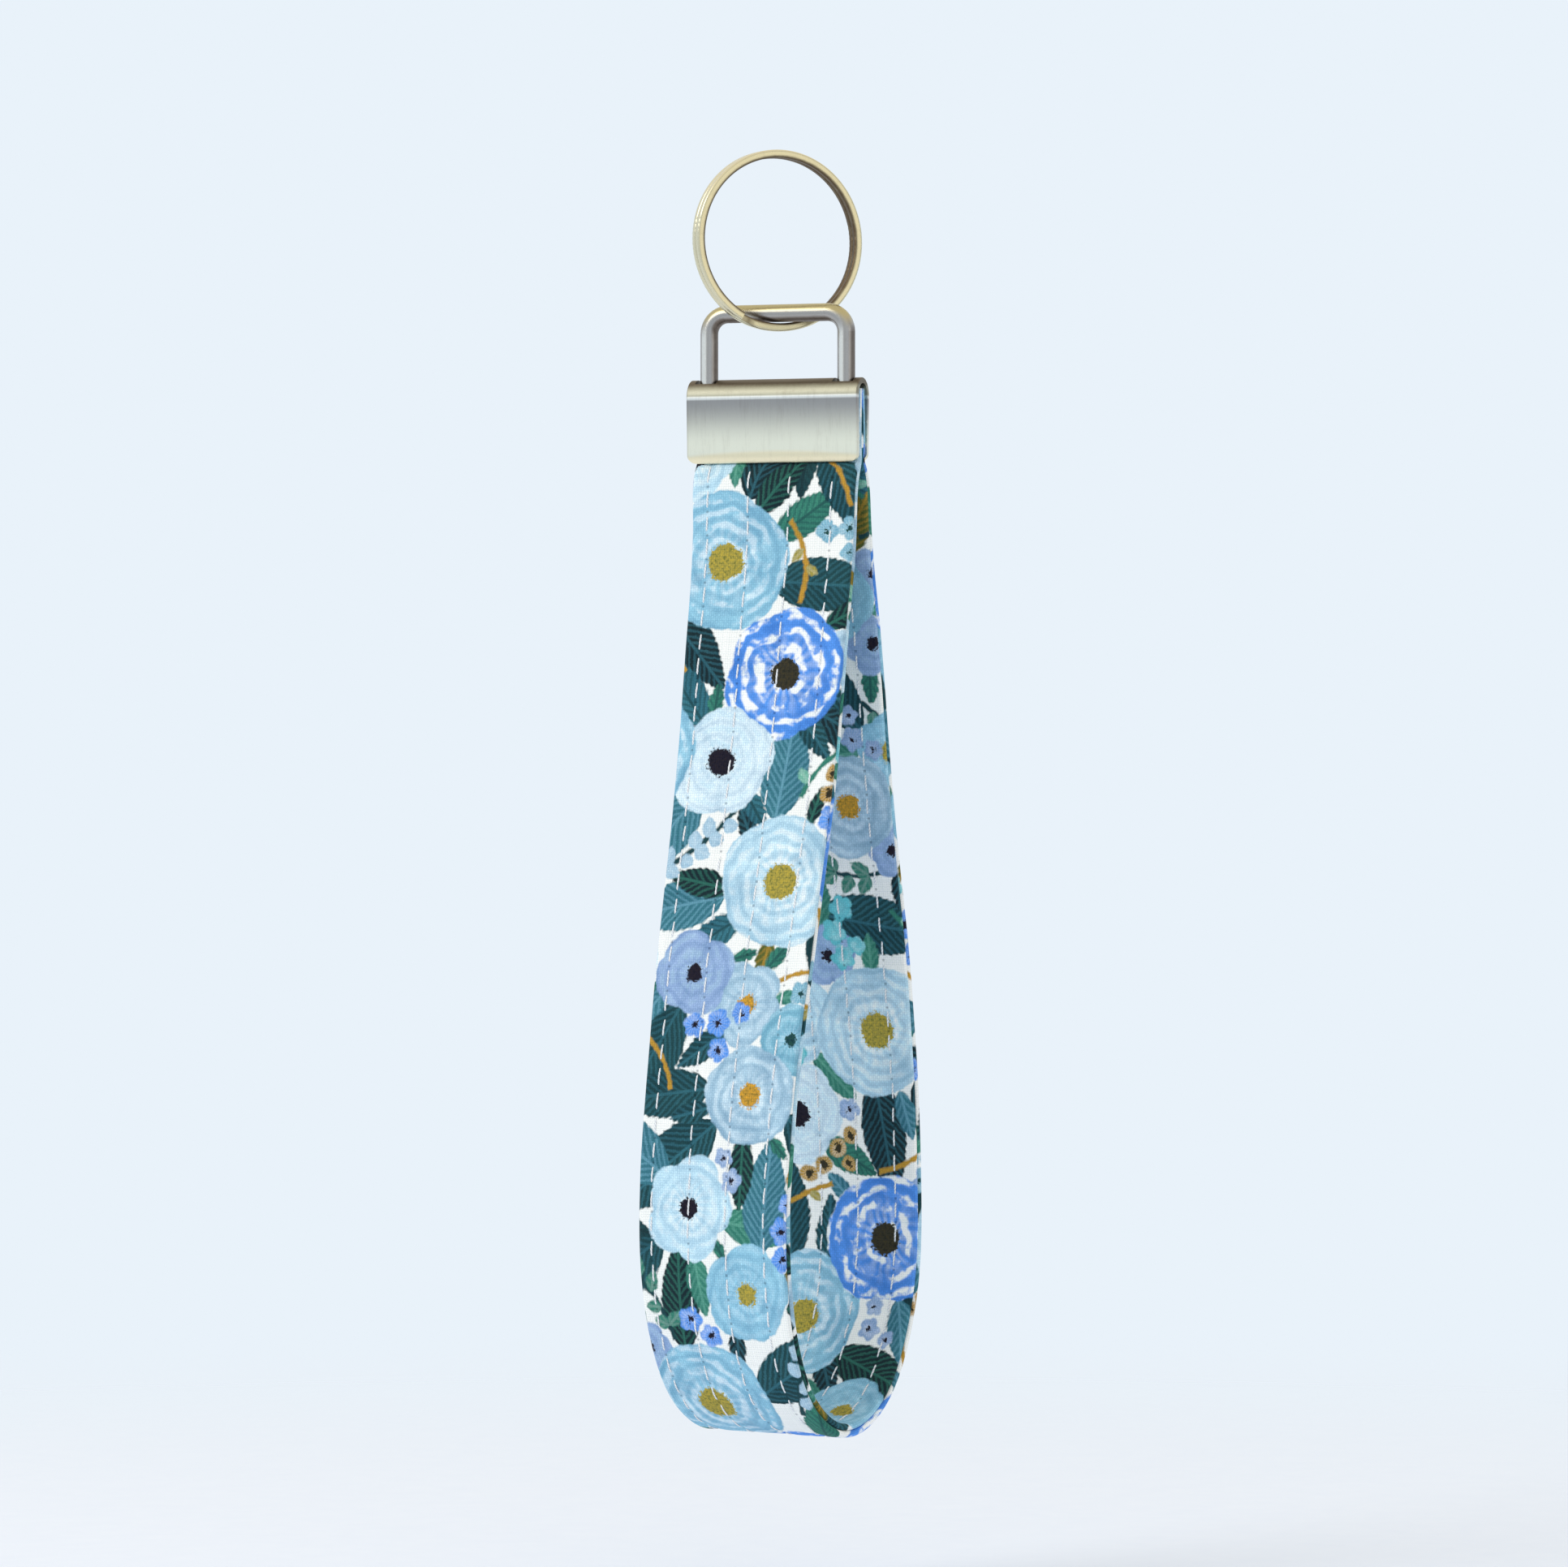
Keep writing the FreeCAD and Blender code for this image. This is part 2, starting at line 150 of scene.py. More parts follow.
class Stations:
    """The strap's centre line at even steps, from one end in the clamp to the other."""

    def __init__(self):
        down = TAIL + [row[:2] for row in ROUTE]
        line = np.array(down + [(-q, z) for q, z in reversed(down[:-1])])
        knots = np.r_[0, np.cumsum(np.hypot(*np.diff(line, axis=0).T))]
        fine = spline(knots, line, np.linspace(0, knots[-1], FINE_POINTS))
        run = np.r_[0, np.cumsum(np.hypot(*np.diff(fine, axis=0).T))]
        self.count = int(round(run[-1] / STEP)) + 1
        self.run = np.linspace(0, run[-1], self.count)
        q = np.interp(self.run, run, fine[:, 0])
        z = np.interp(self.run, run, fine[:, 1])
        _, heights, turns, shifts = zip(*reversed(ROUTE))
        turn = np.radians(settle(np.interp(z, heights, turns), TWIST_WINDOW))
        shift = settle(np.interp(z, heights, shifts), TWIST_WINDOW)
        slope = np.gradient(np.c_[q, z], self.run, axis=0)
        slope /= np.hypot(slope[:, 0], slope[:, 1])[:, None]
        zero = np.zeros(self.count)
        self.wide = np.c_[np.cos(turn), np.sin(turn), zero]
        ahead = np.c_[np.sin(turn), -np.cos(turn), zero]
        self.centre = np.c_[shift, zero, z] + ahead * q[:, None]
        self.out = ahead * -slope[:, 1:] + np.array([0, 0, 1]) * slope[:, :1]
        self.gauge = np.interp(z, *zip(*reversed(PINCH)))
        # Distance from the mouth in front, which is negative inside the clamp.
        self.down = self.run - np.interp(-MOUTH, -z[: self.count // 2], self.run[: self.count // 2])
        self.length = self.down[-1] + self.down[0]

    def at(self, down, across, lift):
        """Points in metres at distances down the strap, across it and out from its middle."""
        run = down - self.down[0]

        def read(column):
            return np.stack([np.interp(run, self.run, column[:, k]) for k in range(3)], -1)

        sideways = read(self.wide) * across[..., None]
        return (read(self.centre) + sideways + read(self.out) * lift[..., None]) * MM


STRAP = Stations()


def stitch_origin(row):
    """Where a row's first stitch starts, as a distance from the front mouth."""
    return 0.5 + 0.8 * row


def stitch_starts(row):
    """Where each stitch of a row starts."""
    rng = np.random.default_rng(40 + row)
    starts = np.arange(stitch_origin(row), STRAP.length - 3.0, STITCH)
    return starts + rng.uniform(-0.08, 0.08, len(starts))


def half_thickness(down, across, gauge):
    """Half the strap's thickness, quilted between the stitch rows."""
    swell = np.full(np.broadcast(down, across).shape, SWELL)
    for row, place in enumerate(ROWS):
        aside = across - place
        phase = (down - stitch_origin(row)) / STITCH
        hole = hump((phase - np.round(phase)) * STITCH, HOLE_REACH) * hump(aside, HOLE_REACH)
        swell = swell - ROW_DIP * hump(aside, ROW_REACH) - HOLE_DIP * hole
        pull = lattice_noise(down / 1.15, across / 3.0 + 7 * row, 60 + row) - 0.5
        swell = swell + PUCKER * pull * hump(aside, PUCKER_REACH)
    swell = swell + UNEVEN * (lattice_noise(down / 2.6, across / 2.2, 71) - 0.5)
    return swell * gauge


def wave(down, across):
    """Slow unevenness of the whole strap, out of its plane."""
    slow = lattice_noise(down / 17.0, across / 14.0 + 3, 81) - 0.5
    quick = lattice_noise(down / 6.5, across / 9.0 + 3, 82) - 0.5
    fade = smooth((down - 1) / 8) * smooth((STRAP.length - 1 - down) / 8)
    return (SLOW_WAVE * slow + QUICK_WAVE * quick) * fade


# ---- node helpers
class Wire:
    """A node's output, with arithmetic that adds math nodes."""

    def __init__(self, net, socket):
        self.net = net
        self.socket = socket

    def __add__(self, other):
        return self.net.math("ADD", self, other)

    __radd__ = __add__

    def __sub__(self, other):
        return self.net.math("SUBTRACT", self, other)

    def __rsub__(self, other):
        return self.net.math("SUBTRACT", other, self)

    def __mul__(self, other):
        return self.net.math("MULTIPLY", self, other)


class Net:
    """A material's or the world's node tree, built from expressions."""

    def __init__(self, owner):
        self.owner = owner
        owner.use_nodes = True
        self.tree = owner.node_tree
        self.tree.nodes.clear()

    def link(self, socket, value):
        if isinstance(value, Wire):
            self.tree.links.new(value.socket, socket)
        else:
            socket.default_value = value

    def node(self, kind, inputs=(), **settings):
        made = self.tree.nodes.new(kind)
        for key, value in settings.items():
            setattr(made, key, value)
        for key, value in dict(inputs).items():
            self.link(made.inputs[key], value)
        return made

    def wire(self, node, output=0):
        return Wire(self, node.outputs[output])

    def read(self, kind, inputs=(), output=0, **settings):
        """A new node's output."""
        return self.wire(self.node(kind, inputs, **settings), output)

    def coordinates(self, output):
        return self.read("ShaderNodeTexCoord", (), output)

    def millimetres(self):
        return self.stretch(self.coordinates("Object"), 1 / MM, 1 / MM, 1 / MM)

    def math(self, operation, *values, clamp=False):
        return self.read("ShaderNodeMath", enumerate(values), operation=operation, use_clamp=clamp)

    def clip(self, value):
        return self.math("ADD", value, 0.0, clamp=True)

    def magnitude(self, value):
        return self.math("ABSOLUTE", value)

    def hypot(self, a, b):
        return self.math("SQRT", a * a + b * b)

    def ramp(self, value, low, high, smoothed=False):
        """0 at low, 1 at high."""
        kind = "SMOOTHSTEP" if smoothed else "LINEAR"
        spots = {"Value": value, "From Min": low, "From Max": high}
        return self.read("ShaderNodeMapRange", spots, interpolation_type=kind)

    def mix(self, share, first, second, blend="MIX"):
        """One colour turned into another by a share."""
        spots = {0: share, 6: first, 7: second}
        settings = dict(data_type="RGBA", blend_type=blend, clamp_result=True)
        return self.read("ShaderNodeMix", spots, 2, **settings)

    def tint(self, share, colour, name):
        """A colour multiplied by one of the tints, as far as the share says."""
        return self.mix(share, colour, TINTS[name] + (1.0,), "MULTIPLY")

    def split(self, value):
        made = self.node("ShaderNodeSeparateXYZ", {"Vector": value})
        return [self.wire(made, k) for k in range(3)]

    def vector(self, operation, *values):
        output = 1 if operation == "DOT_PRODUCT" else 0
        return self.read("ShaderNodeVectorMath", enumerate(values), output, operation=operation)

    def dot(self, value, direction):
        return self.vector("DOT_PRODUCT", value, direction)

    def stretch(self, place, *scales):
        return self.vector("MULTIPLY", place, scales)

    def noise(self, place, scale, detail=2.0, rough=0.5, colour=False):
        spots = {"Vector": place, "Scale": scale, "Detail": detail, "Roughness": rough}
        return self.read("ShaderNodeTexNoise", spots, "Color" if colour else "Fac")

    def attributes(self, name, *outputs):
        made = self.node("ShaderNodeAttribute", attribute_name=name)
        return [self.wire(made, output) for output in outputs]

    def place(self, name):
        """A vector attribute, followed by its three parts."""
        (value,) = self.attributes(name, "Vector")
        return [value] + self.split(value)

    def bump(self, height, distance, strength):
        spots = {"Height": height, "Distance": distance, "Strength": strength}
        return self.read("ShaderNodeBump", spots)

    def principled(self, **spots):
        """A principled shader; its sockets are named with _ for a space."""
        named = {key.replace("_", " "): value for key, value in spots.items()}
        return self.node("ShaderNodeBsdfPrincipled", named)

    def finish(self, shader, kind="Material"):
        """Sends a shader to the output and gives back what the tree belongs to."""
        self.node("ShaderNodeOutput" + kind, {"Surface": self.wire(shader)})
        return self.owner


def material_net(name):
    return Net(bpy.data.materials.new(name))


def linear(red, green, blue):
    """A colour of 0 to 255 as the renderer's own."""

    def part(level):
        return level / 12.92 if level <= 0.04045 else ((level + 0.055) / 1.055) ** 2.4

    return tuple(part(level / 255) for level in (red, green, blue)) + (1.0,)


# ---- camera and studio
# The camera looks level; lengths here are in metres.
AZIMUTH = math.radians(20)
DISTANCE = 1.0
EYE_HEIGHT = -0.076
SIDESTEP = 0.0009
IMAGE_SIDE = 1932
FOCAL_PIXELS = 8800
SENSOR = 36.0
# The floor's height, size, and the distances from its middle between which it fades.
FLOOR = -0.190
FLOOR_RADIUS = 0.55
FLOOR_CORNERS = 96
FLOOR_FADE = (0.12, 0.50)


def make_camera():
    data = bpy.data.cameras.new("camera")
    data.sensor_width = SENSOR
    data.lens = FOCAL_PIXELS / IMAGE_SIDE * SENSOR
    camera = bpy.data.objects.new("camera", data)
    eye = Vector((SIDESTEP, -DISTANCE, EYE_HEIGHT))
    camera.location = Matrix.Rotation(AZIMUTH, 3, "Z") @ eye
    camera.rotation_euler = (math.pi / 2, 0, AZIMUTH)
    bpy.context.scene.collection.objects.link(camera)
    bpy.context.scene.camera = camera


# Parts of the room that are toned: direction, where the tone starts and where it is full,
# how strong it is, and its colour.
TONES = [
    ((0.93, -0.10, -0.05), 0.60, 0.93, 0.45, (120, 108, 98)),
    ((-0.30, -0.94, -0.05), 0.55, 0.95, 0.22, (140, 150, 158)),
    ((0.0, 0.0, -1.0), 0.25, 0.85, 0.45, (196, 186, 168)),
]


def make_world():
    """A pale room: cool all round, warm and bright overhead, dim to the right and below."""
    world = bpy.data.worlds.new("studio")
    bpy.context.scene.world = world
    net = Net(world)
    towards = net.vector("NORMALIZE", net.coordinates("Generated"))
    overhead = net.ramp(net.split(towards)[2], 0.10, 0.75, True)
    room = net.mix(overhead, linear(233, 242, 250), linear(252, 247, 236))
    for direction, start, full, strength, colour in TONES:
        met = net.ramp(net.dot(towards, direction), start, full, True)
        room = net.mix(met * strength, room, linear(*colour))
    net.finish(net.node("ShaderNodeBackground", {"Color": room}), "World")


def make_light(name, spot, aim, across, power, colour):
    data = bpy.data.lights.new(name, "AREA")
    data.shape = "DISK"
    data.size = across
    data.energy = power
    data.color = colour
    light = bpy.data.objects.new(name, data)
    light.location = spot
    light.rotation_euler = (Vector(aim) - Vector(spot)).to_track_quat("-Z", "Y").to_euler()
    bpy.context.scene.collection.objects.link(light)


def make_floor():
    """A pale disc that fades into the room before its rim."""
    net = material_net("floor")
    place = net.coordinates("Object")
    grain = net.noise(place, 240.0, 4.0)
    colour = net.mix(grain, linear(229, 237, 252), linear(234, 241, 254))
    paper = net.wire(net.principled(Base_Color=colour, Roughness=0.9))
    clear = net.read("ShaderNodeBsdfTransparent")
    x, y, _ = net.split(place)
    fade = net.ramp(net.hypot(x, y), *FLOOR_FADE, True)
    material = net.finish(net.node("ShaderNodeMixShader", {0: fade, 1: paper, 2: clear}))
    corners = np.linspace(0, 2 * math.pi, FLOOR_CORNERS, endpoint=False)
    rim = np.array([(*(FLOOR_RADIUS * arrow(angle)), FLOOR) for angle in corners])
    mesh_piece("floor", rim, [range(FLOOR_CORNERS)], material)


# ---- antique brass
GOLD = linear(216, 205, 166)
# Painted highlight on the ring's outside.
PAINTED_HIGHLIGHT_CREAM = linear(222, 214, 184)
STEEL = linear(174, 171, 168)
# Painted highlight down the bail's legs.
PAINTED_HIGHLIGHT_PEWTER = linear(226, 226, 221)
# Painted warm reflection on the bail's top.
PAINTED_REFLECTION_OLIVE = linear(185, 174, 132)
# Umber: patina, and painted shade on the metal.
UMBER_PATINA_AND_SHADE = linear(88, 70, 54)
# Where the metal's colour changes: the bail's top, the clamp's crease with its painted highlight, and from
# none to full its fold, its lip's painted warm reflection, its plate's painted reflection, its crest's
# painted umber shade and its side edges.
BAIL_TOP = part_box("bail")[1][2] / MM
CREASE = -22.02
ROLL = (-22.15, -21.85)
LIP = (-29.2, -29.9)
PLATE = (-28.8, -22.3)
CREST = (-20.75, -19.85)
EDGE = (12.35, 12.7)
# How far from the ring's axis its outside gets paler, a painted highlight, and its bore darker, painted
# shade.
RING_OUTSIDE = (12.35, 12.65)
RING_BORE = (12.08, 11.62)


def wire_brass(name, colour_with_painted_light):
    """Plated wire with random blotches and specks of umber patina. The function passed in gives the colour
    with its painted highlights, and how much painted umber shade it gets."""
    net = material_net(name)
    place = net.millimetres()
    blotch = net.noise(place, 0.9, 4.0, 0.6)
    speck = net.noise(place, 6.0, 3.0, 0.6)
    colour_with_painted_highlight, painted_shade = colour_with_painted_light(net, place)
    # Painted umber shade, with random patina blotches and specks added.
    shade = net.clip(painted_shade + (blotch - 0.5) * 0.35 + (speck - 0.55) * 0.20)
    colour = net.mix(shade * 0.94, colour_with_painted_highlight, UMBER_PATINA_AND_SHADE)
    scratch = net.noise(net.stretch(place, 1.0, 1.0, 7.0), 9.0, 3.0, 0.7)
    spots = dict(Metallic=1.0, Base_Color=colour, Roughness=0.20 + shade * 0.18 + scratch * 0.12)
    return net.finish(net.principled(Normal=net.bump(scratch, 0.000008, 0.5), **spots))


def ring_colour_and_painted_light(net, place):
    """Gold on the faces, with a cream painted highlight outside; painted shade darkens the bore and the gap
    between turns.
    """
    x, y, z = net.split(place)
    diagonal = math.sqrt(0.5)
    # Painted shade in the gap between the turns and in the bore; a painted highlight on the outside.
    groove = net.ramp(net.magnitude((x - y) * diagonal), 0.10, 0.0) * 0.7
    radial = net.hypot((x + y) * diagonal, z)
    colour_with_painted_highlight = net.mix(net.ramp(radial, *RING_OUTSIDE, True), GOLD, PAINTED_HIGHLIGHT_CREAM)
    return colour_with_painted_highlight, net.math("MAXIMUM", net.ramp(radial, *RING_BORE, True), groove)


def bail_colour_and_painted_light(net, place):
    """Steel grey, with olive on top as a painted warm reflection and a pale painted highlight band down the
    legs in front and behind; umber painted shade and dark reflection to the right and below, and a little on
    the other flank."""
    facing = net.coordinates("Normal")
    # Painted warm reflection: olive where the wire faces up.
    top = net.ramp(net.dot(facing, (0.0, -0.3, 0.95)), 0.25, 0.75, True)
    legs = net.ramp(net.split(place)[2], BAIL_TOP - 2.0, BAIL_TOP - 5.0, True)
    # Painted highlight: a pale band where the legs face front or back.
    band = net.ramp(net.magnitude(net.dot(facing, (-0.34, -0.94, 0.0))), 0.90, 0.995, True)
    colour_with_painted_highlight = net.mix(top, net.mix(band * legs, STEEL, PAINTED_HIGHLIGHT_PEWTER), PAINTED_REFLECTION_OLIVE)
    # Painted shade and dark reflection: umber where the wire faces right and down, less on the -X flank.
    turned = net.ramp(net.dot(facing, (0.62, 0.06, -0.95)), 0.22, 0.60, True)
    flank = net.ramp(net.dot(facing, (-1.0, 0.0, 0.0)), 0.50, 0.88)
    return colour_with_painted_highlight, net.math("MAXIMUM", turned * 0.80, flank * 0.45)


def clamp_brass():
    """Sheet brushed up and down: olive on the fold, a gold lip as a painted warm reflection, plates grey to
    pale as a painted reflection, a painted highlight along the crease and painted umber shade on the crest.
    """
    net = material_net("clamp_brass")
    place = net.millimetres()
    x, _, z = net.split(place)
    grain = net.noise(net.stretch(place, 1.0, 1.0, 0.045), 11.0, 5.0, 0.75)
    streak = net.noise(net.stretch(place, 1.0, 1.0, 0.09), 2.2, 3.0, 0.6)
    blotch = net.noise(place, 0.45, 3.0, 0.6)
    roll = net.ramp(z, *ROLL, True)
    # Painted warm reflection on the lip.
    lip = net.ramp(z + x * x * 0.004, *LIP, True)
    # Painted reflection on the plates: grey under the fold, pale towards the bottom.
    plate = net.mix(net.ramp(z, *PLATE, True), linear(244, 244, 226), linear(160, 160, 160))
    colour = net.mix(roll, net.mix(lip, plate, linear(246, 236, 204)), linear(168, 166, 148))
    # Painted umber shade along the crest, and darker side edges.
    crest_shade_and_dark_edges = net.ramp(z, *CREST, True) * 1.15
    crest_shade_and_dark_edges = crest_shade_and_dark_edges + net.ramp(net.magnitude(x), *EDGE, True) * 0.35
    uneven = (streak - 0.5) * 0.45 + (grain - 0.5) * 0.55 + (blotch - 0.5) * 0.25
    # Painted highlight: a pale line along the crease.
    crease = net.ramp(net.magnitude(z - CREASE), 0.34, 0.10)
    colour = net.mix(crease * 0.85, colour, linear(246, 248, 244))
    colour = net.mix(net.clip(crest_shade_and_dark_edges + uneven) * 0.75, colour, UMBER_PATINA_AND_SHADE)
    roughness = 0.30 + (grain - 0.5) * 0.22 + blotch * 0.06 + roll * 0.12
    spots = dict(Metallic=1.0, Anisotropic=0.4, Base_Color=colour, Roughness=roughness)
    return net.finish(net.principled(Normal=net.bump(grain, 0.000018, 0.6), **spots))


def dress(node, material):
    """Gives a CAD node its finish."""
    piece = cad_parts[node]
    if not piece.data.materials:
        piece.data.materials.append(material)
    for slot in piece.material_slots:
        slot.link = "OBJECT"
        slot.material = material


# ---- printed flowers
PALETTE = {
    "white": (246, 250, 250),
    "deep": (30, 68, 74),
    "night": (24, 45, 51),
    "teal": (56, 114, 130),
    "mist": (124, 180, 204),
    "green": (56, 126, 110),
    "fern": (110, 176, 158),
    "pale": (184, 219, 238),
    "snow": (214, 234, 247),
    "slate": (164, 197, 219),
    "lake": (142, 195, 221),
    "cloud": (188, 222, 240),
    "corn": (84, 146, 232),
    "lilac": (144, 172, 214),
    "mustard": (184, 142, 56),
    "moss": (160, 148, 70),
    "olive": (92, 100, 48),
    "soot": (52, 50, 40),
    "ink": (30, 27, 42),
    "aqua": (104, 196, 208),
}
# What each effect on the cloth multiplies its colour by.
TINTS = {
    "pooled": (0.58, 0.67, 0.74),
    "washed": (1.40, 1.30, 1.22),
    "seed": (1.35, 1.24, 0.90),
    "pit": (0.38, 0.52, 0.50),
    "raised": (1.20, 1.18, 1.15),
    # Painted shade in the weave's hollows.
    "hollow_shade": (0.50, 0.58, 0.64),
    "slub": (1.12, 1.11, 1.09),
    # Painted shade in the needle holes.
    "pinhole": (0.16, 0.18, 0.22),
}
# A band wider than any mark, and a depth outside all of them. What a flower's band has
# above FAR tells how far out its notches lie.
FAR = 90.0
OUTSIDE = -9.0
# The grid that the print is laid out on, and how many marks a mesh face can hold.
CELL = 0.5
LAYERS = 6
PRINT_SEED = 5
# How the largest flowers are spaced and how far they stray along the strap, how far they
# stand from a face's middle, and how far along their list the inner face starts.
LEAD_START = 21.0
LEAD_STEP = 15.0
LEAD_STRAY = 2.5
LEAD_ASIDE = (3.5, 7.5)
INNER_LEAD = 6


def box_of(low, high, margin):
    return (low[0] - margin, high[0] + margin, low[1] - margin, high[1] + margin)


def along_line(w, s, start, end):
    """How far along a line and beside it places are, and the line's length."""
    axis = end - start
    size = np.hypot(*axis)
    dw, ds = w - start[0], s - start[1]
    return (dw * axis[0] + ds * axis[1]) / size, (ds * axis[0] - dw * axis[1]) / size, size


class Mark:
    """One painted shape: its colours, half the width of the band it is kept to, and how
    strongly it is brushed."""

    closed = True

    def __init__(self, paint, heart="ink", heart_radius=0.0, stroke="white", rings=0.0, band=FAR):
        self.paint = linear(*PALETTE[paint])[:3] + (band,)
        self.heart = linear(*PALETTE[heart])[:3] + (heart_radius,)
        self.stroke = linear(*PALETTE[stroke])[:3] + (rings,)


class Blossom(Mark):
    """A round flower of blunt petals; rings is how strongly its petals are outlined."""

    def __init__(self, middle, radius, petals, depth, turn, look):
        super().__init__(*look, band=FAR + radius * (1 - depth))
        self.middle = np.array(middle)
        self.radius, self.petals, self.depth, self.turn = radius, petals, depth, turn
        self.box = box_of(self.middle, self.middle, radius + 1)

    def local(self, w, s):
        x = w - self.middle[0]
        y = s - self.middle[1]
        angle = np.arctan2(y, x) + self.turn
        lobe = np.abs(np.cos(angle * self.petals / 2)) ** 0.7
        uneven = 0.035 * np.sin(2 * angle + 5 * self.turn) + 0.02 * np.sin(5 * angle)
        reach = self.radius * (1 - self.depth * (1 - lobe) + uneven)
        return x, y, reach - np.hypot(x, y)


class Leaf(Mark):
    """A pointed leaf from base to tip; a negative rings is how strongly it is veined."""

    def __init__(self, base, tip, half_width, **look):
        super().__init__(**look)
        self.base = np.array(base)
        self.tip = np.array(tip)
        self.half_width = half_width
        self.box = box_of(np.minimum(base, tip), np.maximum(base, tip), half_width + 1)

    def local(self, w, s):
        x, y, size = along_line(w, s, self.base, self.tip)
        share = np.clip(x / size, 0, 1)
        profile = np.sin(math.pi * share**0.8) ** 0.8
        past = np.maximum(-x, 0) + np.maximum(x - size, 0)
        return x, y, self.half_width * profile - np.abs(y) - past


class Stem(Mark):
    """A curved line; its band is what keeps it narrow."""

    closed = False

    def __init__(self, points, half_width, paint):
        super().__init__(paint, stroke="ink", band=half_width)
        points = np.array(points, float)
        knots = np.r_[0, np.cumsum(np.hypot(*np.diff(points, axis=0).T))]
        count = max(3, int(knots[-1] / 0.6))
        self.line = spline(knots, points, np.linspace(0, knots[-1], count))
        self.box = box_of(self.line.min(0), self.line.max(0), 2)

    def local(self, w, s):
        best = np.full(w.shape, 1e9)
        x, y = np.zeros(w.shape), np.zeros(w.shape)
        total = 0.0
        for start, end in zip(self.line, self.line[1:]):
            along, offset, size = along_line(w, s, start, end)
            distance = np.hypot(along - np.clip(along, 0, size), offset)
            nearer = distance < best
            best = np.where(nearer, distance, best)
            x = np.where(nearer, total + along, x)
            y = np.where(nearer, offset, y)
            total += size
        inside = np.minimum(x, total - x) + 0.2
        return x, y, np.where(best < 1.3, inside, OUTSIDE)


# Each flower: radius, petals, depth of the notches, paint, heart, heart radius, stroke and
# how strongly the strokes show.
LEADS = [
    (9.4, 5, 0.05, "lake", "moss", 2.6, "snow", 0.64),
    (8.6, 6, 0.07, "corn", "soot", 2.1, "white", 1.00),
    (7.4, 5, 0.12, "snow", "ink", 1.9, "cloud", 0.40),
    (9.2, 5, 0.05, "pale", "moss", 2.5, "white", 0.36),
    (6.2, 4, 0.18, "lilac", "ink", 1.3, "slate", 0.35),
    (7.0, 5, 0.06, "slate", "mustard", 1.7, "snow", 0.44),
    (7.4, 5, 0.20, "pale", "ink", 1.5, "white", 0.25),
    (6.4, 5, 0.10, "lake", "moss", 1.5, "cloud", 0.28),
]
FILLS = [
    (5.8, 5, 0.14, "pale", "ink", 1.35, "white", 0.25),
    (5.0, 5, 0.18, "lake", "moss", 1.3, "cloud", 0.30),
    (4.6, 5, 0.20, "slate", "mustard", 1.1, "snow", 0.30),
    (5.2, 4, 0.10, "cloud", "ink", 0.0, "white", 0.30),
    (4.4, 4, 0.12, "mist", "deep", 0.8, "cloud", 0.30),
    (3.8, 5, 0.22, "lilac", "ink", 0.8, "slate", 0.30),
]
# Small flowers have the same strokes.
SMALL_STROKES = ("white", 0.15)
SMALLS = [
    (2.3, 5, 0.30, "corn", "ink", 0.65),
    (1.8, 5, 0.34, "lilac", "ink", 0.40),
    (2.0, 5, 0.34, "aqua", "white", 0.0),
    (2.0, 5, 0.30, "corn", "ink", 0.55),
    (1.8, 4, 0.34, "mist", "deep", 0.45),
    (1.5, 2, 0.20, "mustard", "soot", 0.7),
]
# Each leaf: length, half width, paint, vein colour, how strongly the veins show.
LEAVES = [
    (17.0, 3.5, "deep", "teal", 0.75),
    (14.0, 3.1, "teal", "deep", 0.80),
    (16.0, 3.3, "night", "teal", 0.60),
    (11.0, 2.5, "green", "fern", 0.50),
    (15.0, 3.4, "deep", "night", 0.60),
    (16.0, 3.4, "deep", "teal", 0.60),
    (13.0, 2.5, "olive", "mustard", 0.60),
    (14.0, 3.2, "teal", "mist", 0.50),
    (10.0, 2.3, "green", "deep", 0.65),
    (15.0, 3.0, "night", "green", 0.60),
]
# Each sprig: stem paint, half width, bud paint, bud length, bud half width.
SPRIGS = [
    ("deep", 0.40, "slate", 3.0, 1.15),
    ("mustard", 0.32, "mustard", 1.7, 0.60),
    ("deep", 0.36, "green", 3.0, 1.05),
    ("deep", 0.42, "mist", 2.8, 1.10),
    ("mustard", 0.36, "moss", 2.4, 0.70),
    ("green", 0.34, "fern", 2.6, 0.80),
]
# Where the cloth turns round the strap's -X edge on to the other face, and the whole
# strip across, with what is tucked into the slit.
TURN = FOLD - HALF - FOLD * math.pi / 2
CLOTH_WIDE = (2 * TURN - HALF - 2.2, HALF + 2.2)


class Cloth:
    """What is printed so far, on a coarse grid over the whole strip."""

    def __init__(self, low, high):
        self.w = np.arange(*CLOTH_WIDE, CELL)
        self.s = np.arange(low, high, CELL)
        self.taken = np.zeros((len(self.w), len(self.s)), bool)

    def cover(self, mark):
        """The part of the grid round a mark, and which of its cells the mark covers."""
        across = slice(*np.searchsorted(self.w, mark.box[:2]))
        along = slice(*np.searchsorted(self.s, mark.box[2:]))
        w, s = np.meshgrid(self.w[across], self.s[along], indexing="ij")
        return (across, along), mark.local(w, s)[2] > 0

    def cell(self, place):
        sides = zip((self.w, self.s), place)
        return tuple(min(np.searchsorted(side, c), len(side) - 1) for side, c in sides)

    def bare_share(self, mark):
        """How much of a mark would lie on bare cloth; nothing where a heart would be hidden."""
        if isinstance(mark, Blossom) and self.taken[self.cell(mark.middle)]:
            return 0.0
        spot, inside = self.cover(mark)
        return (inside & ~self.taken[spot]).sum() / max(inside.sum(), 1)

    def put(self, mark):
        spot, inside = self.cover(mark)
        self.taken[spot] |= inside


def flower(kind, middle, scale, turn):
    radius, petals, depth, paint, heart, heart_radius, stroke, rings = kind
    look = paint, heart, heart_radius * scale, stroke, rings
    return Blossom(middle, radius * scale, petals, depth, turn, look)


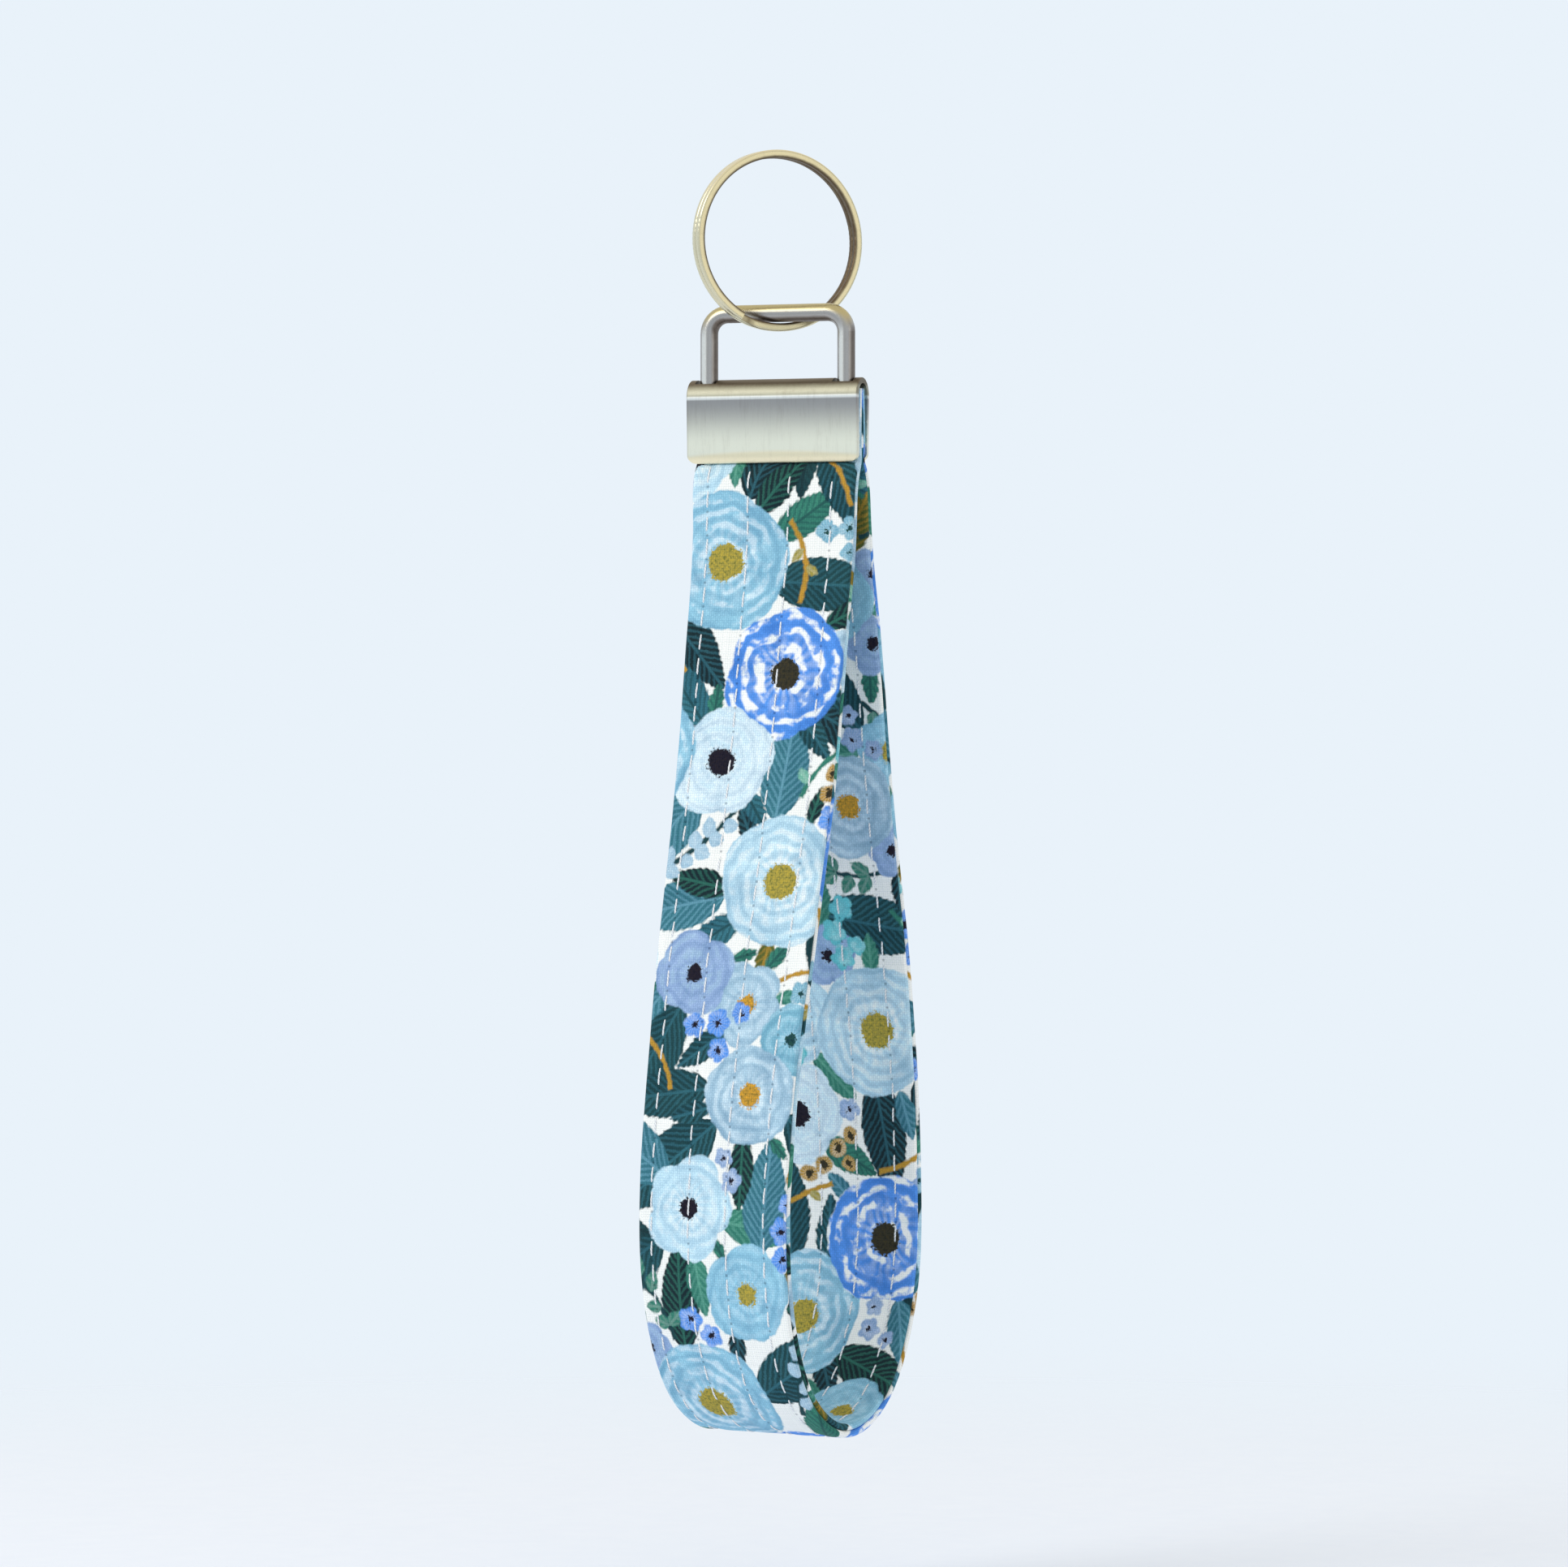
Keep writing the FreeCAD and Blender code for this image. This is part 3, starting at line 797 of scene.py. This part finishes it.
class Printer:
    """Places flowers, sprigs and leaves until little of the ground shows. Most of them are
    the best of several random tries, if at least a given share of that lies on bare cloth."""

    def __init__(self, low, high):
        self.rng = np.random.default_rng(PRINT_SEED)
        self.cloth = Cloth(low, high)
        self.low = low
        self.high = high
        self.leads, self.fills, self.smalls, self.sprigs, self.leaves = [], [], [], [], []

    def grow(self):
        """All marks from the bottom up: leaves take their places last, but lie lowest."""
        self.put_leads()
        self.put_sprigs(48)
        self.put_clusters(24)
        self.put_lead_leaves()
        self.put_tucked()
        self.put_fills(50)
        self.put_clusters(46)
        self.put_filler_leaves(700)
        return self.leaves + self.sprigs + self.fills + self.leads + self.smalls

    def anywhere(self):
        return self.rng.uniform(*CLOTH_WIDE), self.rng.uniform(self.low, self.high)

    def direction(self):
        return self.rng.uniform(0, 2 * math.pi)

    def turn(self):
        return self.rng.uniform(0, 6)

    def put(self, mark, kept):
        self.cloth.put(mark)
        kept.append(mark)

    def put_if_bare(self, mark, least, kept):
        if self.cloth.bare_share(mark) > least:
            self.put(mark, kept)

    def put_best(self, kept, tries, least, make):
        drawn = [make() for _ in range(tries)]
        shares = [self.cloth.bare_share(mark) for mark in drawn]
        best = int(np.argmax(shares))
        if shares[best] < least:
            return None
        self.put(drawn[best], kept)
        return drawn[best]

    def put_leads(self):
        """The largest flowers, at even steps on both faces, to one side and the other."""
        for number, s in enumerate(np.arange(self.low + LEAD_START, self.high, LEAD_STEP)):
            for face, face_middle in enumerate((0.0, 2 * TURN)):
                side = 1 if (number + face) % 2 else -1
                kind = LEADS[(number + INNER_LEAD * face) % len(LEADS)]
                across = face_middle + side * self.rng.uniform(*LEAD_ASIDE)
                middle = across, s + self.rng.uniform(-LEAD_STRAY, LEAD_STRAY)
                scale = self.rng.uniform(0.98, 1.12)
                self.put(flower(kind, middle, scale, self.turn()), self.leads)

    def stem(self, size, half_width, paint):
        points = [np.array(self.anywhere())]
        heading = self.direction()
        bend = self.rng.uniform(-0.9, 0.9)
        for _ in range(4):
            points.append(points[-1] + size / 4 * arrow(heading))
            heading += bend / 3
        return Stem(points, half_width, paint)

    def put_sprigs(self, count):
        """Curved stems with pairs of buds."""
        for number in range(count):
            paint, half_width, bud_paint, bud_length, bud_width = SPRIGS[number % len(SPRIGS)]
            size = self.rng.uniform(9, 17)
            made = self.put_best(self.sprigs, 16, 0.74, lambda: self.stem(size, half_width, paint))
            line = made.line if made else []
            for index in range(3, len(line) - 1, 4):
                ahead = line[index] - line[index - 1]
                heading = math.atan2(ahead[1], ahead[0])
                for side in (-1, 1):
                    towards = heading + side * self.rng.uniform(0.75, 1.1)
                    length = bud_length * self.rng.uniform(0.8, 1.1)
                    tip = line[index] + length * arrow(towards)
                    bud = Leaf(line[index], tip, bud_width, paint=bud_paint, rings=-0.12)
                    self.put_if_bare(bud, 0.30, self.sprigs)

    def put_clusters(self, count):
        """Clusters of one to six small flowers."""
        for number in range(count):
            kind = SMALLS[number % len(SMALLS)] + SMALL_STROKES
            turn = self.turn()
            made = self.put_best(
                self.smalls, 16, 0.90, lambda: flower(kind, self.anywhere(), 1.0, turn)
            )
            for _ in range(5 if made else 0):
                middle = made.middle + kind[0] * 1.9 * arrow(self.direction())
                near = flower(kind, middle, self.rng.uniform(0.75, 1.05), self.turn())
                self.put_if_bare(near, 0.80, self.smalls)

    def leaf_from(self, root, towards, scale):
        """A leaf that grows out from under a flower."""
        length, half_width, paint, vein, veins = LEAVES[self.rng.integers(len(LEAVES))]
        lean = towards + self.rng.uniform(-0.4, 0.4)
        base = root.middle + arrow(towards) * root.radius * self.rng.uniform(0.6, 0.95)
        tip = base + length * scale * arrow(lean)
        return Leaf(base, tip, half_width * scale, paint=paint, stroke=vein, rings=-veins)

    def put_leaf(self, root, towards, sizes, tries, least):
        def make():
            return self.leaf_from(root, towards, self.rng.uniform(*sizes))

        self.put_best(self.leaves, tries, least, make)

    def put_lead_leaves(self):
        for lead in self.leads:
            towards = self.direction()
            for turn in (0.0, 0.8, 3.4, -0.8):
                self.put_leaf(lead, towards + turn, (1.0, 1.3), 4, 0.55)

    def put_filler_leaves(self, count):
        roots = self.leads + self.fills
        for _ in range(count):
            root = roots[self.rng.integers(len(roots))]
            self.put_leaf(root, self.direction(), (0.4, 1.0), 8, 0.42)

    def put_fill(self, number, sizes, middle_of, tries, least):
        """A middling flower, whose radius decides its middle."""
        kind = FILLS[number % len(FILLS)]
        scale = self.rng.uniform(*sizes)
        turn = self.turn()

        def make():
            return flower(kind, middle_of(kind[0] * scale), scale, turn)

        self.put_best(self.fills, tries, least, make)

    def put_tucked(self):
        """One middling flower half under each of the largest."""
        for number, lead in enumerate(self.leads):
            self.put_fill(number, (1.0, 1.3), lambda radius: self.beside(lead, radius), 4, 0.35)

    def beside(self, lead, radius):
        return lead.middle + 0.80 * (lead.radius + radius) * arrow(self.direction())

    def put_fills(self, count):
        for number in range(count):
            self.put_fill(number, (0.9, 1.2), lambda radius: self.anywhere(), 12, 0.62)


def lay_print(w, s):
    """The marks over each face of the mesh, top ones in the last layers.

    w and s are the cloth coordinates of each face's corners. A face keeps its own few
    marks, down to the first one that covers it altogether."""
    faces = w.shape[0]
    places = np.zeros((LAYERS,) + w.shape + (3,), np.float32)
    places[..., 2] = OUTSIDE
    looks = {key: np.zeros((LAYERS, faces, 4), np.float32) for key in ("paint", "heart", "stroke")}
    free = np.full(faces, LAYERS - 1)
    middle_w, middle_s = w.mean(1), s.mean(1)
    for mark in reversed(Printer(float(s.min()) - 1, float(s.max()) + 1).grow()):
        low_w, high_w, low_s, high_s = mark.box
        near = (free >= 0) & (middle_w > low_w) & (middle_w < high_w)
        index = np.nonzero(near & (middle_s > low_s) & (middle_s < high_s))[0]
        x, y, inside = mark.local(w[index], s[index])
        touched = inside.max(1) > -0.5
        index, x, y, inside = index[touched], x[touched], y[touched], inside[touched]
        layer = free[index]
        places[layer, index] = np.stack([x, y, inside], -1)
        for key in looks:
            looks[key][layer, index] = getattr(mark, key)
        whole = (inside.min(1) > 0.6) & mark.closed
        free[index] = np.where(whole, -1, layer - 1)
    return places, looks


def paint_layer(net, number, ground, shared):
    """One layer of the print over the colour below it. kind is a mark's rings: above 0 on
    flowers, where it is the strength of the rings, and below 0 on leaves, for their ribs."""
    wobble, phase, breaks, mottle, grit, pits, bristle, cloud = shared
    _, x, y, inside = net.place("place_%d" % number)
    paint, band = net.attributes("paint_%d" % number, "Color", "Alpha")
    stroke, kind = net.attributes("stroke_%d" % number, "Color", "Alpha")
    heart, size = net.attributes("heart_%d" % number, "Color", "Alpha")
    flowery, leafy = net.clip(kind), net.clip(0.0 - kind)
    side = net.magnitude(y)
    rib = net.math("SINE", (x - side * 1.25) * 5.0 + phase * 0.5 + bristle * 1.5)
    teeth = (rib * 0.5 + 0.5) * leafy * 0.25
    depth = net.math("MINIMUM", inside, band - side) + wobble - teeth
    radius = net.hypot(x, y)
    angle = net.math("ARCTAN2", y, x)
    # Strokes: broken rings and a fan of fine rays on a flower, a midrib and ribs on a leaf.
    arc = net.math("SINE", radius * (3.6 - kind * 0.9) + angle + phase)
    arcs = net.ramp(arc, -0.35, 0.85, True) * breaks * flowery
    fan = net.math("SINE", angle * 17.0 + phase * 1.5) * 0.5 + 0.5
    fans = fan * net.ramp(radius, size * 2.4 + 1.4, size * 1.1) * net.clip(kind * 4.0) * 0.35
    ribs = net.math("MAXIMUM", net.ramp(rib, -0.7, 1.1, True) * 0.7, net.ramp(side, 0.30, 0.12))
    brushed = net.mix(arcs + fans + ribs * leafy, paint, stroke)
    # Darker paint: at the rim, between the rings, in the notches and on a leaf's one half.
    rim = net.ramp(depth, 0.85, 0.05) * 0.16 + mottle
    between = net.ramp(arc, -0.10, -0.95) * net.clip(kind * 3.0) * 0.38
    notch = net.ramp(inside + radius - band + FAR + wobble * 0.4, 0.45, -0.05)
    notch = notch * net.ramp(radius, size * 0.9, size * 1.6 + 0.6) * net.clip(kind * 8.0) * 0.42
    half = net.ramp(y, -0.35, 0.35) * leafy * 0.6
    pooled = net.tint(rim + between + notch + half, brushed, "pooled")
    washed = net.tint(bristle * 0.40 + cloud, pooled, "washed")
    seeds = net.tint(pits, net.tint(grit, heart, "seed"), "pit")
    core = net.ramp(size - radius + wobble * 1.6 + grit * 0.35, 0.0, 0.28)
    painted = net.mix(core * net.ramp(size, 0.0, 0.05), washed, seeds)
    return net.mix(net.ramp(depth, -0.15, 0.15), ground, painted)


def cotton():
    """Plain-weave cotton with a printed ground; the weave is in colour and in relief."""
    net = material_net("printed_cotton")
    cloth, w, s, _ = net.place("cloth")
    drift_x, drift_y, drift_z = net.split(net.noise(cloth, 0.85, 2.0, 0.5, colour=True))
    slow_x, slow_y, slow_z = net.split(net.noise(cloth, 0.30, 1.0, 0.5, colour=True))
    fine = net.noise(cloth, 2.6, 4.0, 0.65)
    seed = net.noise(cloth, 2.4, 2.0, 0.5)
    # In the order in which paint_layer names them.
    shared = (
        (drift_x - 0.5) * 0.7 + (fine - 0.5) * 0.16,
        (slow_x - 0.5) * 8.0 + (drift_y - 0.5) * 1.2,
        net.ramp(slow_y * 0.6 + drift_z * 0.4, 0.42, 0.55, True),
        net.ramp(fine, 0.50, 0.85) * 0.28,
        net.ramp(seed, 0.50, 0.60),
        net.ramp(seed, 0.44, 0.34) * 0.75,
        net.ramp(net.noise(cloth, 1.7, 3.0, 0.6), 0.45, 0.72, True),
        net.ramp(slow_z * 0.6 + drift_y * 0.4, 0.46, 0.64, True) * 0.35,
    )
    colour = net.mix(fine * 0.3, linear(247, 249, 246), linear(236, 240, 241))
    for number in range(LAYERS):
        colour = paint_layer(net, number, colour, shared)
    # The weave: where the product of the two waves is positive the warp is on top.
    pitch = math.pi / 0.34
    slub_w = net.noise(net.stretch(cloth, 2.8, 0.12, 1.0), 1.0, 2.0)
    slub_s = net.noise(net.stretch(cloth, 0.12, 2.8, 1.0), 1.0, 2.0)
    warp = net.math("SINE", w * pitch + slub_s * 2.0)
    weft = net.math("SINE", s * pitch + slub_w * 2.0)
    over = net.ramp(warp * weft, -0.25, 0.25)
    height = net.magnitude(weft) + over * (net.magnitude(warp) - net.magnitude(weft))
    colour = net.tint(net.ramp(height, 0.72, 1.0) * (over * 0.7 + 0.3), colour, "raised")
    # Painted shade in the hollows between the threads.
    colour = net.tint(net.ramp(height, 0.55, 0.05) * 0.42, colour, "hollow_shade")
    colour = net.tint(net.clip((slub_w + slub_s - 1.0) * 2.5), colour, "slub")
    # A pinhole where the needle went in, between one stitch and the next, painted as a dark dot of shade.
    _, across, down, _ = net.place("seam")
    for row, place in enumerate(ROWS):
        past = net.math("PINGPONG", down - stitch_origin(row), STITCH / 2)
        hole = net.ramp(net.hypot(across - place, past), 0.26, 0.10)
        colour = net.tint(hole * 0.55, colour, "pinhole")
    normal = net.bump(height + (slub_w + slub_s) * 0.6, 0.00005, 0.75)
    shine = dict(Roughness=0.86, Specular_IOR_Level=0.12, Sheen_Weight=0.03, Sheen_Roughness=0.45)
    return net.finish(net.principled(Base_Color=colour, Normal=normal, **shine))


def thread_material():
    """White sewing thread; yarn holds the place round and along it."""
    net = material_net("white_thread")
    yarn, around, along, _ = net.place("yarn")
    twist = net.math("SINE", around * 2.0 + along * 13.0)
    fuzz = net.noise(yarn, 6.0, 3.0, 0.7)
    shade = net.ramp(twist + (fuzz - 0.5), -1.0, 0.8)
    colour = net.mix(shade, linear(205, 212, 222), linear(253, 253, 252))
    normal = net.bump(twist + fuzz, 0.00003, 0.6)
    shine = dict(Roughness=0.5, Specular_IOR_Level=0.35, Sheen_Weight=0.15)
    return net.finish(net.principled(Base_Color=colour, Normal=normal, **shine))


def felt_material():
    net = material_net("interfacing")
    fibre = net.noise(net.millimetres(), 3.5, 5.0, 0.8)
    colour = net.mix(fibre, linear(226, 226, 220), linear(246, 246, 243))
    normal = net.bump(fibre, 0.0001, 0.6)
    return net.finish(net.principled(Base_Color=colour, Normal=normal, Roughness=0.95))


# ---- mesh helpers
def tube_faces(rows, around, base=0):
    """Faces of a tube of rings whose points start at base: its sides, and its two ends."""
    i, j = np.meshgrid(np.arange(rows - 1), np.arange(around), indexing="ij")
    first = base + i * around + j
    second = base + i * around + (j + 1) % around
    sides = np.stack([first, second, second + around, first + around], -1).reshape(-1, 4)
    ring = base + np.arange(around)
    return sides, [ring[::-1], ring + (rows - 1) * around]


def attribute(mesh, name, domain, values, kind="FLOAT_VECTOR", key="vector"):
    """Keeps values with a mesh's points, corners or faces."""
    made = mesh.attributes.new(name, kind, domain)
    made.data.foreach_set(key, values.astype(np.float32).ravel())


def mesh_piece(name, points, faces, material):
    mesh = bpy.data.meshes.new(name)
    mesh.from_pydata(points.reshape(-1, 3).tolist(), [], [tuple(face) for face in faces])
    mesh.shade_smooth()
    mesh.materials.append(material)
    piece = bpy.data.objects.new(name, mesh)
    bpy.context.scene.collection.objects.link(piece)
    return piece


# ---- strap pieces
# The cover: mesh points across a face, radius of the slit's edges, the slit's depth, and how
# far the ends are pushed up in the clamp.
FLAT_POINTS = 54
LOBE = 0.46
SLIT = 0.5
TONGUE = 3.3
# Half the core's width and thickness, and its mesh points across.
CORE_HALF = 11.55
CORE_HALF_THICK = 0.40
CORE_POINTS = 15
# A stitch: the thread's half width and half thickness, mesh rings along it and points round
# it, and its shortest and longest reach over the cloth.
THREAD = (0.135, 0.105)
RINGS = 15
AROUND = 10
SPAN = (2.25, 2.65)


def cover_section():
    """Round the strap once: across, lift as a share of half the thickness, and the cloth
    coordinate, which runs on from the outer face round the fold to the inner face."""
    spots = []
    inset = HALF - LOBE
    for angle in np.linspace(-90, 90, 7):
        a = math.radians(angle)
        arc = LOBE * (math.pi / 2 - a)
        spots.append((inset + LOBE * math.cos(a), 0.49 + 0.46 * math.sin(a), inset + arc))
    for across in np.linspace(inset, FOLD - HALF, FLAT_POINTS)[1:-1]:
        blend_in = smooth((inset - across) / 1.2)
        spots.append((across, 0.95 + 0.05 * blend_in, across))
    for angle in np.linspace(0, 90, 5):
        a = math.radians(angle)
        spots.append((FOLD - HALF - FOLD * math.sin(a), math.cos(a), FOLD - HALF - FOLD * a))
    mirrored = [(across, -lift, 2 * TURN - place) for across, lift, place in reversed(spots[:-1])]
    slit = [(inset - SLIT, 0.0, inset + 2.0)]
    return np.array(spots + mirrored + slit)


def tongue(points, down, across):
    """The strap's ends, pushed up beside the bail's legs at the clamp's open +X end."""
    inside = np.maximum(-down, down - STRAP.length)
    share = smooth((inside - 2.5) / 4.2) * smooth((across - 11.05) / 0.45)
    points[..., 2] += share * TONGUE * MM
    points[..., 1] *= 1 - 0.30 * share
    return points


def make_cover(material):
    """The printed cloth: one tube round the core, slit along its +X edge."""
    section = cover_section()
    around = len(section)
    across, lift, place = section.T
    down = STRAP.down[:, None]
    thick = half_thickness(down, across[None, :], STRAP.gauge[:, None])
    out = thick * lift + wave(down, across[None, :])
    across, down, place = np.broadcast_arrays(across, down, place)
    points = tongue(STRAP.at(down, across, out), down, across)
    sides, ends = tube_faces(STRAP.count, around)
    piece = mesh_piece("strap_cover", points, [*sides, *ends], material)
    attribute(piece.data, "seam", "POINT", np.stack([across, down, 0 * out], -1))
    # The slit's floor belongs to both edges of the cloth, so places are kept by corner.
    w = place.reshape(-1)[sides]
    s = down.reshape(-1)[sides]
    inner_edge = np.arange(len(sides)) % around == around - 2
    w[inner_edge] = np.where(w[inner_edge] > 0, 2 * TURN - w[inner_edge], w[inner_edge])

    def by_corner(name, values):
        """Values for the sides' corners; the two ends' corners come after them, bare."""
        spare = np.zeros((2 * around, 3))
        attribute(piece.data, name, "CORNER", np.concatenate([values.reshape(-1, 3), spare]))

    by_corner("cloth", np.stack([w, s, 0 * w], -1))
    places, looks = lay_print(w, s)
    for layer in range(LAYERS):
        by_corner("place_%d" % layer, places[layer])
        for key, table in looks.items():
            values = np.concatenate([table[layer], np.zeros((2, 4))])
            name = "%s_%d" % (key, layer)
            attribute(piece.data, name, "FACE", values, "FLOAT_COLOR", "color")
    return piece


def make_core(material):
    """The interfacing inside the cover."""
    line = np.linspace(CORE_HALF, -CORE_HALF, CORE_POINTS)
    across = np.r_[line, line[::-1]]
    lift = np.repeat([CORE_HALF_THICK, -CORE_HALF_THICK], CORE_POINTS)
    down = STRAP.down[::2, None]
    fluff = 0.02 * (lattice_noise(down * 1.3, across[None, :] * 1.3 + 9, 91) - 0.5)
    out = lift * STRAP.gauge[::2, None] + fluff + wave(down, across[None, :])
    points = STRAP.at(*np.broadcast_arrays(down, across, out))
    sides, ends = tube_faces(len(down), len(across))
    return mesh_piece("strap_core", points, [*sides, *ends], material)


def make_stitches(name, row, side, material):
    """One row of lockstitches on one face: each dips into the cloth at both ends."""
    rng = np.random.default_rng(500 + 10 * row + side)
    share = np.linspace(0, 1, RINGS)
    angle = np.arange(AROUND) * 2 * math.pi / AROUND
    points, yarn, faces = [], [], []
    for number, start in enumerate(stitch_starts(row)):
        span = rng.uniform(*SPAN)
        slant = rng.uniform(0.02, 0.16)
        lean = rng.uniform(-0.06, 0.06)
        along = span * share
        down = start + (STITCH - span) / 2 + along
        middle = ROWS[row] + lean + slant * (0.5 - share) * side
        gauge = np.interp(down, STRAP.down, STRAP.gauge)
        bed = half_thickness(down, middle, gauge) * side + wave(down, middle)
        arch = (1 - (2 * share - 1) ** 4) * 0.19 - 0.13
        ply = 1 + 0.14 * np.cos(2 * angle + (along * 6.5)[:, None])
        ply = ply * (0.55 + 0.45 * (1 - (2 * share - 1) ** 6))[:, None]
        wide = THREAD[0] * np.cos(angle) * ply
        high = THREAD[1] * np.sin(angle) * ply
        lift = bed[:, None] + side * (arch[:, None] + high)
        points.append(STRAP.at(*np.broadcast_arrays(down[:, None], middle[:, None] + wide, lift)))
        yarn.append(np.stack(np.broadcast_arrays(angle, along[:, None], number * 3.7), -1))
        sides, ends = tube_faces(RINGS, AROUND, number * RINGS * AROUND)
        faces += [*sides, *ends]
    piece = mesh_piece(name, np.concatenate(points), faces, material)
    attribute(piece.data, "yarn", "POINT", np.concatenate(yarn))
    return piece


def make_strap():
    """The cover, the core and the eight rows of stitches, each given a blend from the clamp and ends to the
    loop.
    """
    cover = make_cover(cotton())
    core = make_core(felt_material())
    thread = thread_material()
    rows = []
    for row in range(len(ROWS)):
        for kind, side in (("needle", 1), ("bobbin", -1)):
            stitches = make_stitches("%s_row_%d" % (kind, row + 1), row, side, thread)
            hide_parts("%s_thread_%d" % (kind, row + 1))
            rows.append(stitches)
    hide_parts("strap_cover_loop", "strap_cover_tails")
    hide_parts("strap_core_loop", "strap_core_tails")
    for piece in [cover, core] + rows:
        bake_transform(piece, "clamp_and_ends", "strap_loop", start=(0, 0, -0.0308), end=(0, 0, -0.0365))


# ---- scene
make_camera()
make_world()
make_floor()
# Each light: place, what it aims at, its width, power and colour.
make_light("key", (-0.55, -0.80, 0.55), (0, 0, -0.08), 0.7, 3.7, (1.0, 0.99, 0.97))
make_light("glint", (0.85, -0.31, 0.03), (0, 0, 0), 0.45, 0.35, (1.0, 0.96, 0.88))
bpy.context.scene.view_settings.view_transform = "Standard"

dress("split_ring", wire_brass("ring_brass", ring_colour_and_painted_light))
dress("bail", wire_brass("bail_brass", bail_colour_and_painted_light))
dress("clamp", clamp_brass())
make_strap()
